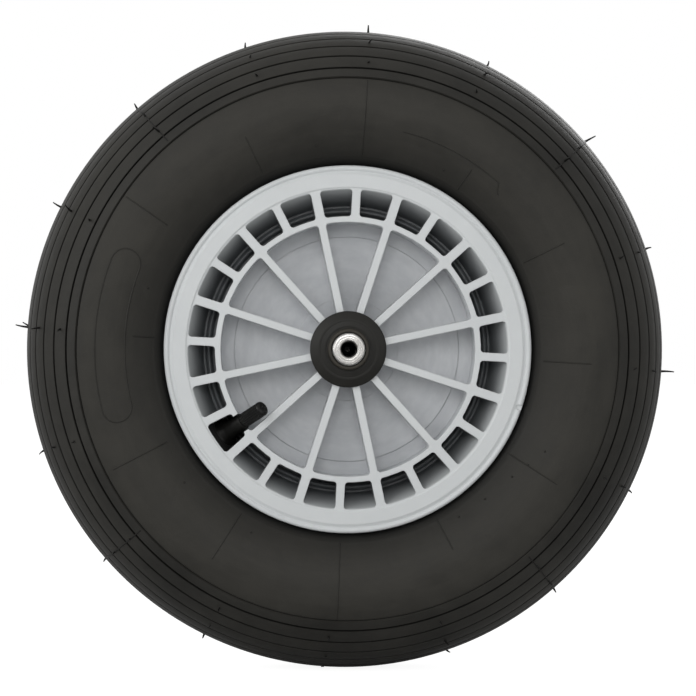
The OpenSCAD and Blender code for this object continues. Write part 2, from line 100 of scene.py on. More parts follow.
class Look(Enum):
    """Finishes of the pieces."""

    TYRE = "tyre_rubber"
    RIM = "rim_plastic"
    HUB_CAP = "hub_cap_plastic"
    VALVE_CAP = "valve_cap_plastic"
    CAGE = "cage_plastic"
    AXLE = "axle_steel"
    STEEL = "bearing_steel"
    SPRING = "spring_steel"
    BRASS = "brass"
    RUBBER = "valve_rubber"


class Body(Enum):
    """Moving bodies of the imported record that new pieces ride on."""

    AXLE = "axle_body"
    WHEEL = "wheel"
    CAP = "cap"
    PIN = "pin"


def settle(piece: Piece, body: Body, node: str = "") -> Piece:
    """Hang a finished piece on its body.

    Args:
        piece: The piece.
        body: The body that it rides on.
        node: CAD node that it stands for, if any.

    Returns:
        The same piece.
    """
    if node:
        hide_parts(node)
    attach(piece, body.value)
    return piece


def lay_down(x: float, y: float, height: float) -> Vector:
    """Turn a lathe point in millimetres into the wheel's frame in metres.

    Args:
        x: Place across the lathe's face.
        y: Place up the lathe's face.
        height: Height above the wheel's middle plane, towards the valve side.

    Returns:
        The point in metres.
    """
    return Vector((x, -height, y)) * MM


def around(radius: float, angle: float, height: float) -> Vector:
    """Put a (radius, height) pair at an angle in degrees round the wheel."""
    turn = math.radians(angle)
    return lay_down(radius * math.cos(turn), radius * math.sin(turn), height)


def arc(centre: Point, radius: float, start: float, end: float, steps: int) -> list[Point]:
    """Return the points of an arc.

    Args:
        centre: Middle of the arc.
        radius: Radius of the arc.
        start: First angle in degrees.
        end: Last angle in degrees.
        steps: Number of chords.

    Returns:
        The arc's points, ends included.
    """
    angles = [math.radians(start + (end - start) * i / steps) for i in range(steps + 1)]
    return [(centre[0] + radius * math.cos(a), centre[1] + radius * math.sin(a)) for a in angles]


def rounded(corners: Sequence[Corner], steps: int = 4, closed: bool = True) -> list[Point]:
    """Round the corners of a section.

    Args:
        corners: Corners as (radius, height, rounding), in order.
        steps: Chords in each rounding.
        closed: Whether the last corner joins the first.

    Returns:
        The points of the rounded section.
    """
    points: list[Point] = []
    count = len(corners)
    for i, (x, y, rounding) in enumerate(corners):
        here = Vector((x, y))
        at_end = not closed and i in (0, count - 1)
        if rounding <= 0 or at_end:
            points.append((x, y))
            continue
        before = Vector(corners[i - 1][:2]) - here
        after = Vector(corners[(i + 1) % count][:2]) - here
        half = before.angle(after) / 2
        longest = ROUNDING_SHARE * min(before.length, after.length)
        reach = min(rounding / math.tan(half), longest)
        first = here + before.normalized() * reach
        last = here + after.normalized() * reach
        for k in range(steps + 1):
            t = k / steps
            bent = first * (1 - t) ** 2 + here * (2 * t * (1 - t)) + last * t**2
            points.append((bent.x, bent.y))
    return points


def bridge(shape: Shape, low: Ring, high: Ring) -> None:
    """Join two rings with faces. A ring of one vertex is a pole."""
    count = max(len(low), len(high))
    for i in range(count):
        k = (i + 1) % count
        loop = [low[i % len(low)], low[k % len(low)], high[k % len(high)], high[i % len(high)]]
        shape.faces.new(list(dict.fromkeys(loop)))


def swept(shape: Shape, rows: list[Ring], closed: bool = False) -> None:
    """Skin a row of rings, and cap both ends unless the last ring joins the first."""
    for low, high in zip(rows, rows[1:] + ([rows[0]] if closed else [])):
        bridge(shape, low, high)
    if not closed:
        shape.faces.new(rows[0])
        shape.faces.new(rows[-1])


def made_mesh(shape: Shape, name: str) -> bpy.types.Mesh:
    """Turn a shape's faces outwards, make its mesh and free it."""
    bmesh.ops.recalc_face_normals(shape, faces=shape.faces)
    mesh = bpy.data.meshes.new(name)
    shape.to_mesh(mesh)
    shape.free()
    return mesh


def finished(mesh: bpy.types.Mesh, material: Material, sharp: float) -> Piece:
    """Shade a mesh, give it its material and put it in the scene under its own name.

    Args:
        mesh: The mesh, already in its place.
        material: Its material.
        sharp: Angle in degrees past which an edge stays sharp.

    Returns:
        The new object.
    """
    mesh.materials.clear()
    mesh.materials.append(material)
    mesh.shade_smooth()
    mesh.set_sharp_from_angle(angle=math.radians(sharp))
    piece = bpy.data.objects.new(mesh.name, mesh)
    bpy.context.scene.collection.objects.link(piece)
    return piece


def revolved(
    name: str,
    section: Sequence[Point],
    segments: int,
    place: Callable[[float, float, float], Vector] = lay_down,
    radius_at: Callable[[float, float, float], float] | None = None,
) -> bpy.types.Mesh:
    """Turn a section into a closed mesh.

    Args:
        name: Name of the mesh.
        section: Points as (radius, height). A section that starts and ends on the
            axis gets a pole at each end, and any other one is a closed ring.
        segments: Number of segments round the axis.
        place: What turns a lathe point into the wheel's frame.
        radius_at: Radius for a (radius, height, angle), where it isn't round.

    Returns:
        The mesh, with its faces outwards.
    """
    poles = section[0][0] < ON_AXIS and section[-1][0] < ON_AXIS
    shape = bmesh.new()
    rings: list[Ring] = []
    for radius, height in section:
        if radius < ON_AXIS:
            rings.append([shape.verts.new(place(0, 0, height))])
            continue
        ring = []
        for i in range(segments):
            turn = 2 * math.pi * i / segments
            r = radius_at(radius, height, turn) if radius_at else radius
            ring.append(shape.verts.new(place(r * math.cos(turn), r * math.sin(turn), height)))
        rings.append(ring)
    for low, high in zip(rings, rings[1:] + ([] if poles else [rings[0]])):
        bridge(shape, low, high)
    return made_mesh(shape, name)


class Graph:
    """Short calls that add nodes to one tree and link them."""

    def __init__(self, tree: Tree) -> None:
        """Work on a tree."""
        self.tree = tree

    def feed(self, node: Node, inputs: dict) -> Node:
        """Give a node's sockets values or other nodes' outputs, and return it."""
        for key, value in inputs.items():
            if isinstance(value, Socket):
                self.tree.links.new(value, node.inputs[key])
            else:
                node.inputs[key].default_value = value
        return node

    def node(self, kind: str, inputs: dict | None = None, **settings: object) -> Node:
        """Add a node.

        Args:
            kind: Type of the node.
            inputs: What its sockets get: a value or another node's output.
            **settings: The node's own settings.

        Returns:
            The node.
        """
        made = self.tree.nodes.new(kind)
        for name, value in settings.items():
            setattr(made, name, value)
        return self.feed(made, inputs or {})

    def math(self, operation: str, *values: object, clamp: bool = False) -> Socket:
        """Add a Math node and return its output."""
        inputs = dict(enumerate(values))
        return self.node("ShaderNodeMath", inputs, operation=operation, use_clamp=clamp).outputs[0]

    def vector_math(self, operation: str, first: object, second: object) -> Socket:
        """Add a Vector Math node and return its value."""
        made = self.node("ShaderNodeVectorMath", {0: first, 1: second}, operation=operation)
        return made.outputs["Value"]

    def span(self, value: object, low: float, high: float, start: float, end: float) -> Socket:
        """Map low and high to start and end, held at both, and return the output."""
        inputs = {"Value": value, "From Min": low, "From Max": high}
        inputs |= {"To Min": start, "To Max": end}
        return self.node("ShaderNodeMapRange", inputs).outputs["Result"]

    def mix(self, factor: object, first: object, second: object) -> Socket:
        """Mix two colours and return the output."""
        made = self.node("ShaderNodeMix", {0: factor, 6: first, 7: second}, data_type="RGBA")
        return made.outputs[2]

    def noise(self, vector: object, scale: object, detail: float, rough: float = 0.55) -> Socket:
        """Add a Noise Texture and return its factor."""
        inputs = {"Vector": vector, "Scale": scale, "Detail": detail, "Roughness": rough}
        return self.node("ShaderNodeTexNoise", inputs).outputs["Fac"]

    def place(self) -> Socket:
        """Return the object's own coordinates."""
        return self.node("ShaderNodeTexCoord").outputs["Object"]

    def group(self, tree: Tree, inputs: dict | None = None) -> Node:
        """Place a node group with its own values."""
        return self.node("ShaderNodeGroup", inputs, node_tree=tree)


@dataclass(frozen=True)
class Effect:
    """A shader node group with named inputs and outputs.

    Attributes:
        name: Name of the group.
        inputs: Name, kind and starting value of each input. A vector starts unset.
        outputs: Name and kind of each output.
    """

    name: str
    inputs: tuple[tuple[str, str, float], ...]
    outputs: tuple[tuple[str, str], ...]

    def start(self) -> tuple[Graph, dict[str, Socket], Node]:
        """Make the empty group.

        Returns:
            The group's graph, its inputs by name and its output node.
        """
        tree = bpy.data.node_groups.new(self.name, "ShaderNodeTree")
        for label, kind, value in self.inputs:
            socket = tree.interface.new_socket(name=label, in_out="INPUT", socket_type=kind)
            if kind == FLOAT:
                socket.default_value = value
        for label, kind in self.outputs:
            tree.interface.new_socket(name=label, in_out="OUTPUT", socket_type=kind)
        graph = Graph(tree)
        start = graph.node("NodeGroupInput")
        given = {label: start.outputs[label] for label, _, _ in self.inputs}
        return graph, given, graph.node("NodeGroupOutput")


class Effects:
    """The effects that several materials share, each built once."""

    def __init__(self) -> None:
        """Build every effect."""
        self.turning = self.build_turning()
        self.grain = self.build_grain()
        self.wear = self.build_wear()
        self.blotches = self.build_blotches()
        self.rings = self.build_rings()

    @staticmethod
    def build_turning() -> Tree:
        """Distance from the wheel's axis and from its middle plane, and the way round it.

        Returns:
            The group, with the outputs Radius and Depth in metres and Streak, a vector
            that runs slowly round the wheel and fast across it.
        """
        outputs = (("Radius", FLOAT), ("Depth", FLOAT), ("Streak", VECTOR))
        graph, _, end = Effect("turning", (), outputs).start()
        across, along, up = graph.node("ShaderNodeSeparateXYZ", {0: graph.place()}).outputs
        depth = graph.math("ABSOLUTE", along)
        squares = graph.math("MULTIPLY_ADD", across, across, graph.math("MULTIPLY", up, up))
        radius = graph.math("SQRT", squares)
        safe = graph.math("MAXIMUM", radius, 1e-5)
        spread = graph.math("MULTIPLY", graph.math("ADD", radius, depth), 40.0)
        parts = (graph.math("DIVIDE", across, safe), graph.math("DIVIDE", up, safe), spread)
        streak = graph.node("ShaderNodeCombineXYZ", dict(enumerate(parts))).outputs[0]
        graph.feed(end, {"Radius": radius, "Depth": depth, "Streak": streak})
        return graph.tree

    @staticmethod
    def build_grain() -> Tree:
        """Fine moulded or cast grain of a given Scale and Depth on the normal Under it.

        Returns:
            The group, with the outputs Normal and Grain.
        """
        inputs = (("Scale", FLOAT, 900.0), ("Depth", FLOAT, 0.00003), ("Under", VECTOR, 0.0))
        outputs = (("Normal", VECTOR), ("Grain", FLOAT))
        graph, given, end = Effect("fine_grain", inputs, outputs).start()
        fine = graph.noise(graph.place(), given["Scale"], 4.0, 0.6)
        ends = {"Distance": given["Depth"], "Height": fine, "Normal": given["Under"]}
        bump = graph.node("ShaderNodeBump", ends)
        graph.feed(end, {"Normal": bump.outputs[0], "Grain": fine})
        return graph.tree

    @staticmethod
    def build_wear() -> Tree:
        """Edges softened to a Width, and a mask along them that is broken up by patches.

        Returns:
            The group, with the outputs Mask and Soft, the normal that bends over an edge.
        """
        inputs = (("Width", FLOAT, 0.0006), ("Breakup", FLOAT, 260.0))
        outputs = (("Mask", FLOAT), ("Soft", VECTOR))
        graph, given, end = Effect("edge_wear", inputs, outputs).start()
        soft = graph.node("ShaderNodeBevel", {"Radius": given["Width"]}, samples=4).outputs[0]
        true = graph.node("ShaderNodeNewGeometry").outputs["True Normal"]
        edge = graph.span(graph.vector_math("DOT_PRODUCT", soft, true), 0.995, 0.82, 0.0, 1.0)
        patches = graph.noise(graph.place(), given["Breakup"], 3.0, 0.5)
        broken = graph.span(patches, 0.4, 0.62, 0.35, 1.0)
        graph.feed(end, {"Mask": graph.math("MULTIPLY", edge, broken), "Soft": soft})
        return graph.tree

    @staticmethod
    def build_blotches() -> Tree:
        """Large soft patches of a given Scale with a finer cloud inside them.

        Returns:
            The group, with the output Value from 0 to 1.
        """
        effect = Effect("blotches", (("Scale", FLOAT, 14.0),), (("Value", FLOAT),))
        graph, given, end = effect.start()
        place = graph.place()
        large = graph.noise(place, given["Scale"], 4.0, 0.6)
        small = graph.noise(place, graph.math("MULTIPLY", given["Scale"], 6.0), 3.0, 0.6)
        cloud = graph.math("MULTIPLY", small, 0.32)
        both = graph.math("MULTIPLY_ADD", large, 0.68, cloud)
        graph.feed(end, {"Value": graph.span(both, 0.34, 0.66, 0.0, 1.0)})
        return graph.tree

    def build_rings(self) -> Tree:
        """Fine rings that a lathe or a mould leaves round the wheel's axis.

        Returns:
            The group, with the outputs Height and Normal.
        """
        inputs = (("Pitch", FLOAT, 0.0005), ("Depth", FLOAT, 0.00002), ("Under", VECTOR, 0.0))
        outputs = (("Height", FLOAT), ("Normal", VECTOR))
        graph, given, end = Effect("turned_rings", inputs, outputs).start()
        turning = graph.group(self.turning).outputs
        turns = graph.math("DIVIDE", turning["Radius"], given["Pitch"])
        wander = graph.noise(turning["Streak"], 2.4, 4.0)
        turned = graph.math("MULTIPLY", graph.math("ADD", turns, wander), 2 * math.pi)
        faded = graph.noise(turning["Streak"], 9.0, 2.0)
        uneven = graph.math("MULTIPLY", graph.math("SINE", turned), faded)
        ends = {"Distance": given["Depth"], "Height": uneven, "Normal": given["Under"]}
        bump = graph.node("ShaderNodeBump", ends)
        graph.feed(end, {"Height": uneven, "Normal": bump.outputs[0]})
        return graph.tree


@dataclass(frozen=True)
class Finish:
    """A finish that several pieces may share.

    Attributes:
        name: Name of the material.
        base: Colour of the clean surface.
        marked: Colour of its patches.
        worn: Colour of its worn edges.
        rough: Roughness of the clean surface.
        rough_marked: Roughness of its patches.
        metal: 1 for bare metal, 0 otherwise.
        specular: Strength of its gloss.
        patch_scale: Scale of the patches.
        grain_scale: Scale of the grain.
        grain_depth: Depth of the grain in metres.
        edge: Radius of the softened edges in metres.
        wear: Share of the worn colour that shows on an edge.
    """

    name: str
    base: Colour
    marked: Colour
    worn: Colour
    rough: float = 0.5
    rough_marked: float = 0.6
    metal: float = 0.0
    specular: float = 0.5
    patch_scale: float = 30.0
    grain_scale: float = 900.0
    grain_depth: float = 0.00002
    edge: float = 0.0003
    wear: float = 0.4

    def start(self) -> tuple[Material, Graph, Node]:
        """Make the material, and return it with its graph and its Principled shader."""
        material = bpy.data.materials.new(self.name)
        material.use_nodes = True
        material.diffuse_color = self.base
        graph = Graph(material.node_tree)
        shader = material.node_tree.nodes["Principled BSDF"]
        graph.feed(shader, {"Metallic": self.metal, "Specular IOR Level": self.specular})
        return material, graph, shader

    def patches(self, graph: Graph, effects: Effects) -> Socket:
        """Return the patches, from 0 to 1."""
        return graph.group(effects.blotches, {"Scale": self.patch_scale}).outputs["Value"]

    def roughness(self, graph: Graph, patches: Socket) -> Socket:
        """Return the roughness of a surface with these patches."""
        return graph.span(patches, 0, 1, self.rough, self.rough_marked)

    def grain(self, graph: Graph, effects: Effects, under: Socket) -> dict[str, Socket]:
        """Return the outputs of the grain over a normal."""
        ends = {"Scale": self.grain_scale, "Depth": self.grain_depth, "Under": under}
        return graph.group(effects.grain, ends).outputs

    def over_edges(self, graph: Graph, wear: Node, clean: Socket) -> Socket:
        """Return a colour with the worn colour over its edges."""
        shown = graph.math("MULTIPLY", wear.outputs["Mask"], self.wear)
        return graph.mix(shown, clean, self.worn)

    def clean(self, graph: Graph, effects: Effects, patches: Socket) -> Socket:
        """Return the colour of the surface without its worn edges."""
        return graph.mix(patches, self.base, self.marked)

    def build(self, effects: Effects) -> Material:
        """Build the material.

        Args:
            effects: The shared node groups.

        Returns:
            The material.
        """
        material, graph, shader = self.start()
        wear = graph.group(effects.wear, {"Width": self.edge})
        patches = self.patches(graph, effects)
        grain = self.grain(graph, effects, wear.outputs["Soft"])
        rough = self.roughness(graph, patches)
        inputs = {
            "Base Color": self.over_edges(graph, wear, self.clean(graph, effects, patches)),
            "Roughness": graph.math("MULTIPLY_ADD", grain["Grain"], 0.06, rough),
            "Normal": grain["Normal"],
        }
        graph.feed(shader, inputs)
        return material


@dataclass(frozen=True)
class TurnedFinish(Finish):
    """A finish with fine rings round the wheel's axis, as a lathe leaves them.

    Attributes:
        pitch: Distance between two rings in metres.
        ring_depth: Depth of a ring in metres.
        inner_r: Radius in metres inside which the piece has another colour: the hub cap collar's
            own tone, and painted shade in the axle's bore.
        inner: Colour there. Its default is the painted shade of the axle's bore.
    """

    pitch: float = 0.0005
    ring_depth: float = 0.00002
    inner_r: float = 0.0
    # The default inner colour is painted shade, used in the axle's bore
    inner: Colour = (0.03, 0.028, 0.026, 1.0)

    def build(self, effects: Effects) -> Material:
        """Build the material from the shared node groups."""
        material, graph, shader = self.start()
        wear = graph.group(effects.wear, {"Width": self.edge})
        ends = {"Pitch": self.pitch, "Depth": self.ring_depth, "Under": wear.outputs["Soft"]}
        rings = graph.group(effects.rings, ends).outputs
        patches = self.patches(graph, effects)
        shade = graph.math("MULTIPLY_ADD", rings["Height"], 0.35, patches, clamp=True)
        colour = self.over_edges(graph, wear, self.clean(graph, effects, shade))
        # Inside inner_r the hub cap's collar keeps its own tone, and the axle's bore takes painted
        # shade
        if self.inner_r:
            radius = graph.group(effects.turning).outputs["Radius"]
            inside = graph.span(radius, self.inner_r, self.inner_r - 0.0004, 0.0, 1.0)
            colour = graph.mix(inside, colour, self.inner)
        rough = self.roughness(graph, shade)
        inputs = {"Base Color": colour, "Roughness": rough, "Normal": rings["Normal"]}
        graph.feed(shader, inputs)
        return material


@dataclass(frozen=True)
class RimFinish(Finish):
    """Moulded plastic that is a little cooler on the web, with painted shade deep in the pockets
    and round the valve's foot.

    Attributes:
        web: Colour of the web.
        web_patch: Colour of the web's patches.
        deep: Painted shade, a near-black grey, deep in a pocket.
        valve_foot_shade: Painted shade, near black, on the pocket round the valve's foot.
        foot_shade_at: Middle of that painted shade in the wheel's frame, in metres.
        foot_shade_r: Radius of the painted shade.
        foot_shade_w: Half its width across the pocket.
        ring: Radius in metres of the ring between the web and the pockets.
        brim: Radius in metres of the pockets' outer edge.
        face: Distance from the middle plane to the rim's face.
        mouth: Height of a pocket's mouth, where its painted shade deepens fast.
        floor: Distance from the middle plane to the web.
    """

    web: Colour = (0.49, 0.505, 0.525, 1.0)
    web_patch: Colour = (0.61, 0.622, 0.635, 1.0)
    # Painted shade deep in the pockets
    deep: Colour = (0.085, 0.092, 0.098, 1.0)
    # Painted shade, near black, round the valve's foot in its pocket
    valve_foot_shade: Colour = (0.012, 0.012, 0.012, 1.0)
    foot_shade_at: tuple[float, float, float] = (-0.07633, -0.023, -0.05226)
    foot_shade_r: float = 0.0195
    foot_shade_w: float = 0.0108
    ring: float = 0.0815
    brim: float = 0.0995
    face: float = 0.0379
    mouth: float = 0.0016
    floor: float = 0.0175

    def clean(self, graph: Graph, effects: Effects, patches: Socket) -> Socket:
        """Return the colour of the face, the web and the pockets, with painted shade in the
        pockets.
        """
        turning = graph.group(effects.turning).outputs
        radius, depth = turning["Radius"], turning["Depth"]
        flow = graph.span(graph.noise(turning["Streak"], 5.0, 3.0), 0.4, 0.65, 0.0, 1.0)
        in_web = graph.math("LESS_THAN", radius, self.ring - 0.003)
        low = graph.math("MULTIPLY", in_web, graph.span(depth, self.face, self.floor, 0.0, 1.0))
        cloud = graph.math("MULTIPLY_ADD", patches, 0.6, graph.math("MULTIPLY", flow, 0.4))
        web = graph.mix(cloud, self.web, self.web_patch)
        colour = graph.mix(low, graph.mix(patches, self.base, self.marked), web)
        # Painted shade: each pocket darkens with depth, fast just below its mouth, towards the
        # deep colour
        past_ring = graph.span(radius, self.ring - 0.002, self.ring, 0.0, 1.0)
        in_pocket = graph.math("MULTIPLY", past_ring, graph.math("LESS_THAN", radius, self.brim))
        mouth = self.face - self.mouth
        below = graph.span(depth, self.face, mouth, 0.0, 0.42)
        deeper_shade = graph.span(depth, mouth, self.floor, 0.0, 0.52)
        pocket_shade = graph.math("MULTIPLY", in_pocket, graph.math("ADD", below, deeper_shade))
        colour = graph.mix(pocket_shade, colour, self.deep)
        # Painted shade: near black on the pocket round the valve's foot
        foot_shaded = graph.math("MULTIPLY", in_pocket, self.foot_shaded(graph, depth))
        return graph.mix(foot_shaded, colour, self.valve_foot_shade)

    def foot_shaded(self, graph: Graph, depth: Socket) -> Socket:
        """Return 1 in the painted shade round the valve's foot and 0 elsewhere."""
        at = Vector(self.foot_shade_at)
        aside = Vector((-at.z, 0.0, at.x)).normalized()
        place = graph.place()
        apart = graph.vector_math("DISTANCE", place, at)
        across = graph.math("ABSOLUTE", graph.vector_math("DOT_PRODUCT", place, aside))
        near = graph.span(apart, self.foot_shade_r, self.foot_shade_r - 0.0015, 0.0, 1.0)
        inside = graph.math("LESS_THAN", across, self.foot_shade_w)
        below = graph.math("LESS_THAN", depth, self.face)
        return graph.math("MULTIPLY", graph.math("MULTIPLY", near, inside), below)


@dataclass(frozen=True)
class TyreFinish(Finish):
    """Matt tyre rubber: painted sheen where it bulges, paler ribs, painted shade in its grooves,
    its dips and by the rim, and painted shadow on its mould lines.

    Attributes:
        bulge_sheen: Painted sheen, a greyish paler colour, on the bulge.
        groove: Painted shade, near black, for the grooves, the dips, the gap by the rim and the
            mould lines.
        middle: Radius in metres of the section's middle.
        groove_reach: Distance from there to the floor of a groove.
        rib_reach: Distance from there to the top of a rib.
        wall_reach: Distance from there to the sidewall, under which it counts as a dip and takes
            painted shade.
        tread_from: Radius in metres past which the ribs start.
        rim_edge: Radius in metres of the rim's lip, where the rubber takes painted shade.
        bulge_from: Distance from the middle plane where the bulge and its painted sheen start.
        bulge_to: Distance from the middle plane where it is full.
    """

    # Painted sheen on the sidewall's bulge
    bulge_sheen: Colour = (0.036, 0.0342, 0.0295, 1.0)
    # Painted shade, near black, for the grooves, dips, rim gap and mould lines
    groove: Colour = (0.004, 0.004, 0.0037, 1.0)
    middle: float = 0.1492
    groove_reach: float = 0.0494
    rib_reach: float = 0.0507
    wall_reach: float = 0.0499
    tread_from: float = 0.1664
    rim_edge: float = 0.1143
    bulge_from: float = 0.0355
    bulge_to: float = 0.0495

    def walls(
        self, graph: Graph, place: tuple[Socket, ...], patches: Socket, marks: Socket
    ) -> Socket:
        """Return the sidewall's colour.

        Args:
            graph: The material's graph.
            place: Radius, depth and distance from the section's middle.
            patches: The patches.
            marks: Patches and streaks together.

        Returns:
            The colour, with painted sheen on the bulge, painted shade in its dips and by the rim,
            and painted shadow on its mould lines.
        """
        radius, depth, reach = place
        wall = self.wall_reach
        # Painted sheen: the bulge is paler, mottled by the patches and streaks
        bulge = graph.span(depth, self.bulge_from, self.bulge_to, 0.0, 1.0)
        cloud = graph.math("MULTIPLY_ADD", marks, 0.75, 0.42)
        side = graph.math("MULTIPLY", bulge, cloud, clamp=True)
        walls = graph.mix(side, graph.mix(patches, self.base, self.marked), self.bulge_sheen)
        # Painted shade in the dips and by the rim's lip, and painted shadow on the mould lines
        rim_gap_shade = graph.span(radius, self.rim_edge, self.rim_edge + 0.004, 1.0, 0.0)
        dip_and_gap_shade = graph.math("MAXIMUM", rim_gap_shade, graph.span(reach, wall, wall - 0.0004, 0.0, 1.0))
        mould_line_shadow = graph.span(reach, wall + 0.0002, wall + 0.0005, 0.0, 0.38)
        return graph.mix(graph.math("MAXIMUM", dip_and_gap_shade, mould_line_shadow), walls, self.groove)

    def ribs(self, graph: Graph, reach: Socket, marks: Socket) -> Socket:
        """Return the tread's colour: scuffed ribs, painted shade in the grooves and painted shadow
        on the mould lines.
        """
        # Painted shade: the colour falls to near black down in the grooves
        rib = graph.span(reach, self.groove_reach, self.rib_reach, 0.0, 1.0)
        cloud = graph.math("MULTIPLY_ADD", marks, 0.7, 0.3)
        scuffs = graph.math("MULTIPLY", rib, cloud, clamp=True)
        ribs = graph.mix(scuffs, self.groove, self.worn)
        # Painted shadow on the mould lines that cross the ribs
        mould_line_shadow = graph.span(reach, self.rib_reach + 0.0003, self.rib_reach + 0.0005, 0.0, 0.85)
        return graph.mix(mould_line_shadow, ribs, self.groove)

    def build(self, effects: Effects) -> Material:
        """Build the material from the shared node groups."""
        material, graph, shader = self.start()
        turning = graph.group(effects.turning).outputs
        radius, depth = turning["Radius"], turning["Depth"]
        patches = self.patches(graph, effects)
        streaks = graph.noise(turning["Streak"], 3.2, 5.0, 0.6)
        streaks = graph.span(streaks, 0.4, 0.68, 0.0, 1.0)
        out = graph.math("SUBTRACT", radius, self.middle)
        squares = graph.math("MULTIPLY_ADD", out, out, graph.math("MULTIPLY", depth, depth))
        reach = graph.math("SQRT", squares)
        on_tread = graph.span(radius, self.tread_from, self.tread_from + 0.0008, 0.0, 1.0)
        marks = graph.math("MULTIPLY_ADD", patches, 0.6, graph.math("MULTIPLY", streaks, 0.3))
        walls = self.walls(graph, (radius, depth, reach), patches, marks)
        under = graph.node("ShaderNodeNewGeometry").outputs["Normal"]
        uneven = graph.group(effects.grain, {"Scale": 55.0, "Depth": 0.0007, "Under": under})
        rough = self.roughness(graph, patches)
        inputs = {
            "Base Color": graph.mix(on_tread, walls, self.ribs(graph, reach, marks)),
            "Roughness": graph.math("MULTIPLY_ADD", streaks, 0.07, rough),
            "Normal": self.grain(graph, effects, uneven.outputs["Normal"])["Normal"],
        }
        graph.feed(shader, inputs)
        return material


FINISHES: dict[Look, Finish] = {
    Look.TYRE: TyreFinish(
        Look.TYRE.value,
        base=(0.011, 0.0107, 0.0093, 1.0),
        marked=(0.015, 0.0145, 0.0127, 1.0),
        worn=(0.036, 0.0345, 0.0302, 1.0),
        rough=0.46,
        rough_marked=0.56,
        specular=0.15,
        patch_scale=11.0,
        grain_scale=1400.0,
        grain_depth=0.00003,
    ),
    Look.RIM: RimFinish(
        Look.RIM.value,
        base=(0.585, 0.605, 0.608, 1.0),
        marked=(0.555, 0.575, 0.58, 1.0),
        worn=(0.68, 0.695, 0.70, 1.0),
        rough=0.36,
        rough_marked=0.46,
        specular=0.42,
        patch_scale=18.0,
        grain_scale=2200.0,
        grain_depth=0.000012,
        edge=0.0009,
        wear=0.2,
    ),
    Look.HUB_CAP: TurnedFinish(
        Look.HUB_CAP.value,
        base=(0.0095, 0.0092, 0.0078, 1.0),
        marked=(0.0145, 0.014, 0.012, 1.0),
        worn=(0.075, 0.07, 0.06, 1.0),
        rough=0.42,
        rough_marked=0.54,
        specular=0.2,
        patch_scale=70.0,
        wear=0.5,
        pitch=0.0011,
        ring_depth=0.000012,
        inner_r=0.0129,
        inner=(0.033, 0.0295, 0.0235, 1.0),
    ),
    Look.VALVE_CAP: Finish(
        Look.VALVE_CAP.value,
        base=(0.0065, 0.0065, 0.0062, 1.0),
        marked=(0.01, 0.01, 0.0093, 1.0),
        worn=(0.045, 0.044, 0.041, 1.0),
        rough=0.1,
        rough_marked=0.16,
        specular=0.14,
        patch_scale=120.0,
        grain_scale=1500.0,
        grain_depth=0.000004,
        edge=0.0002,
        wear=0.3,
    ),
    Look.CAGE: Finish(
        Look.CAGE.value,
        base=(0.09, 0.08, 0.06, 1.0),
        marked=(0.075, 0.066, 0.05, 1.0),
        worn=(0.16, 0.145, 0.11, 1.0),
        rough=0.45,
        patch_scale=90.0,
        edge=0.0002,
    ),
    Look.AXLE: TurnedFinish(
        Look.AXLE.value,
        base=(0.66, 0.645, 0.62, 1.0),
        marked=(0.36, 0.35, 0.335, 1.0),
        worn=(0.8, 0.79, 0.77, 1.0),
        rough=0.2,
        rough_marked=0.34,
        metal=1.0,
        patch_scale=140.0,
        edge=0.00015,
        wear=0.5,
        pitch=0.0014,
        ring_depth=0.00003,
        # Painted shade: the bore, inside this radius, takes the dark inner colour
        inner_r=0.0052,
    ),
    Look.STEEL: TurnedFinish(
        Look.STEEL.value,
        base=(0.66, 0.65, 0.64, 1.0),
        marked=(0.56, 0.55, 0.53, 1.0),
        worn=(0.8, 0.79, 0.78, 1.0),
        rough=0.18,
        rough_marked=0.32,
        metal=1.0,
        patch_scale=140.0,
        edge=0.0002,
        wear=0.5,
        pitch=0.00042,
        ring_depth=0.000006,
    ),
    Look.SPRING: Finish(
        Look.SPRING.value,
        base=(0.2, 0.2, 0.205, 1.0),
        marked=(0.14, 0.138, 0.135, 1.0),
        worn=(0.5, 0.49, 0.48, 1.0),
        rough=0.32,
        rough_marked=0.5,
        metal=1.0,
        patch_scale=200.0,
        grain_depth=0.00001,
        edge=0.00012,
    ),
    Look.BRASS: Finish(
        Look.BRASS.value,
        base=(0.72, 0.55, 0.25, 1.0),
        marked=(0.6, 0.43, 0.17, 1.0),
        worn=(0.85, 0.7, 0.4, 1.0),
        rough=0.26,
        rough_marked=0.42,
        metal=1.0,
        patch_scale=260.0,
        grain_depth=0.000006,
        edge=0.0001,
    ),
    Look.RUBBER: Finish(
        Look.RUBBER.value,
        base=(0.005, 0.005, 0.0046, 1.0),
        marked=(0.0085, 0.0083, 0.0076, 1.0),
        worn=(0.035, 0.034, 0.031, 1.0),
        rough=0.3,
        rough_marked=0.42,
        specular=0.12,
        patch_scale=120.0,
        grain_scale=1500.0,
        grain_depth=0.000012,
        wear=0.25,
    ),
}


class Finishes:
    """Builds each finish the first time that it is asked for."""

    def __init__(self) -> None:
        """Build the shared effects."""
        self.effects = Effects()
        self.made: dict[Look, Material] = {}

    def of(self, look: Look) -> Material:
        """Return the material of a look."""
        if look not in self.made:
            self.made[look] = FINISHES[look].build(self.effects)
        return self.made[look]


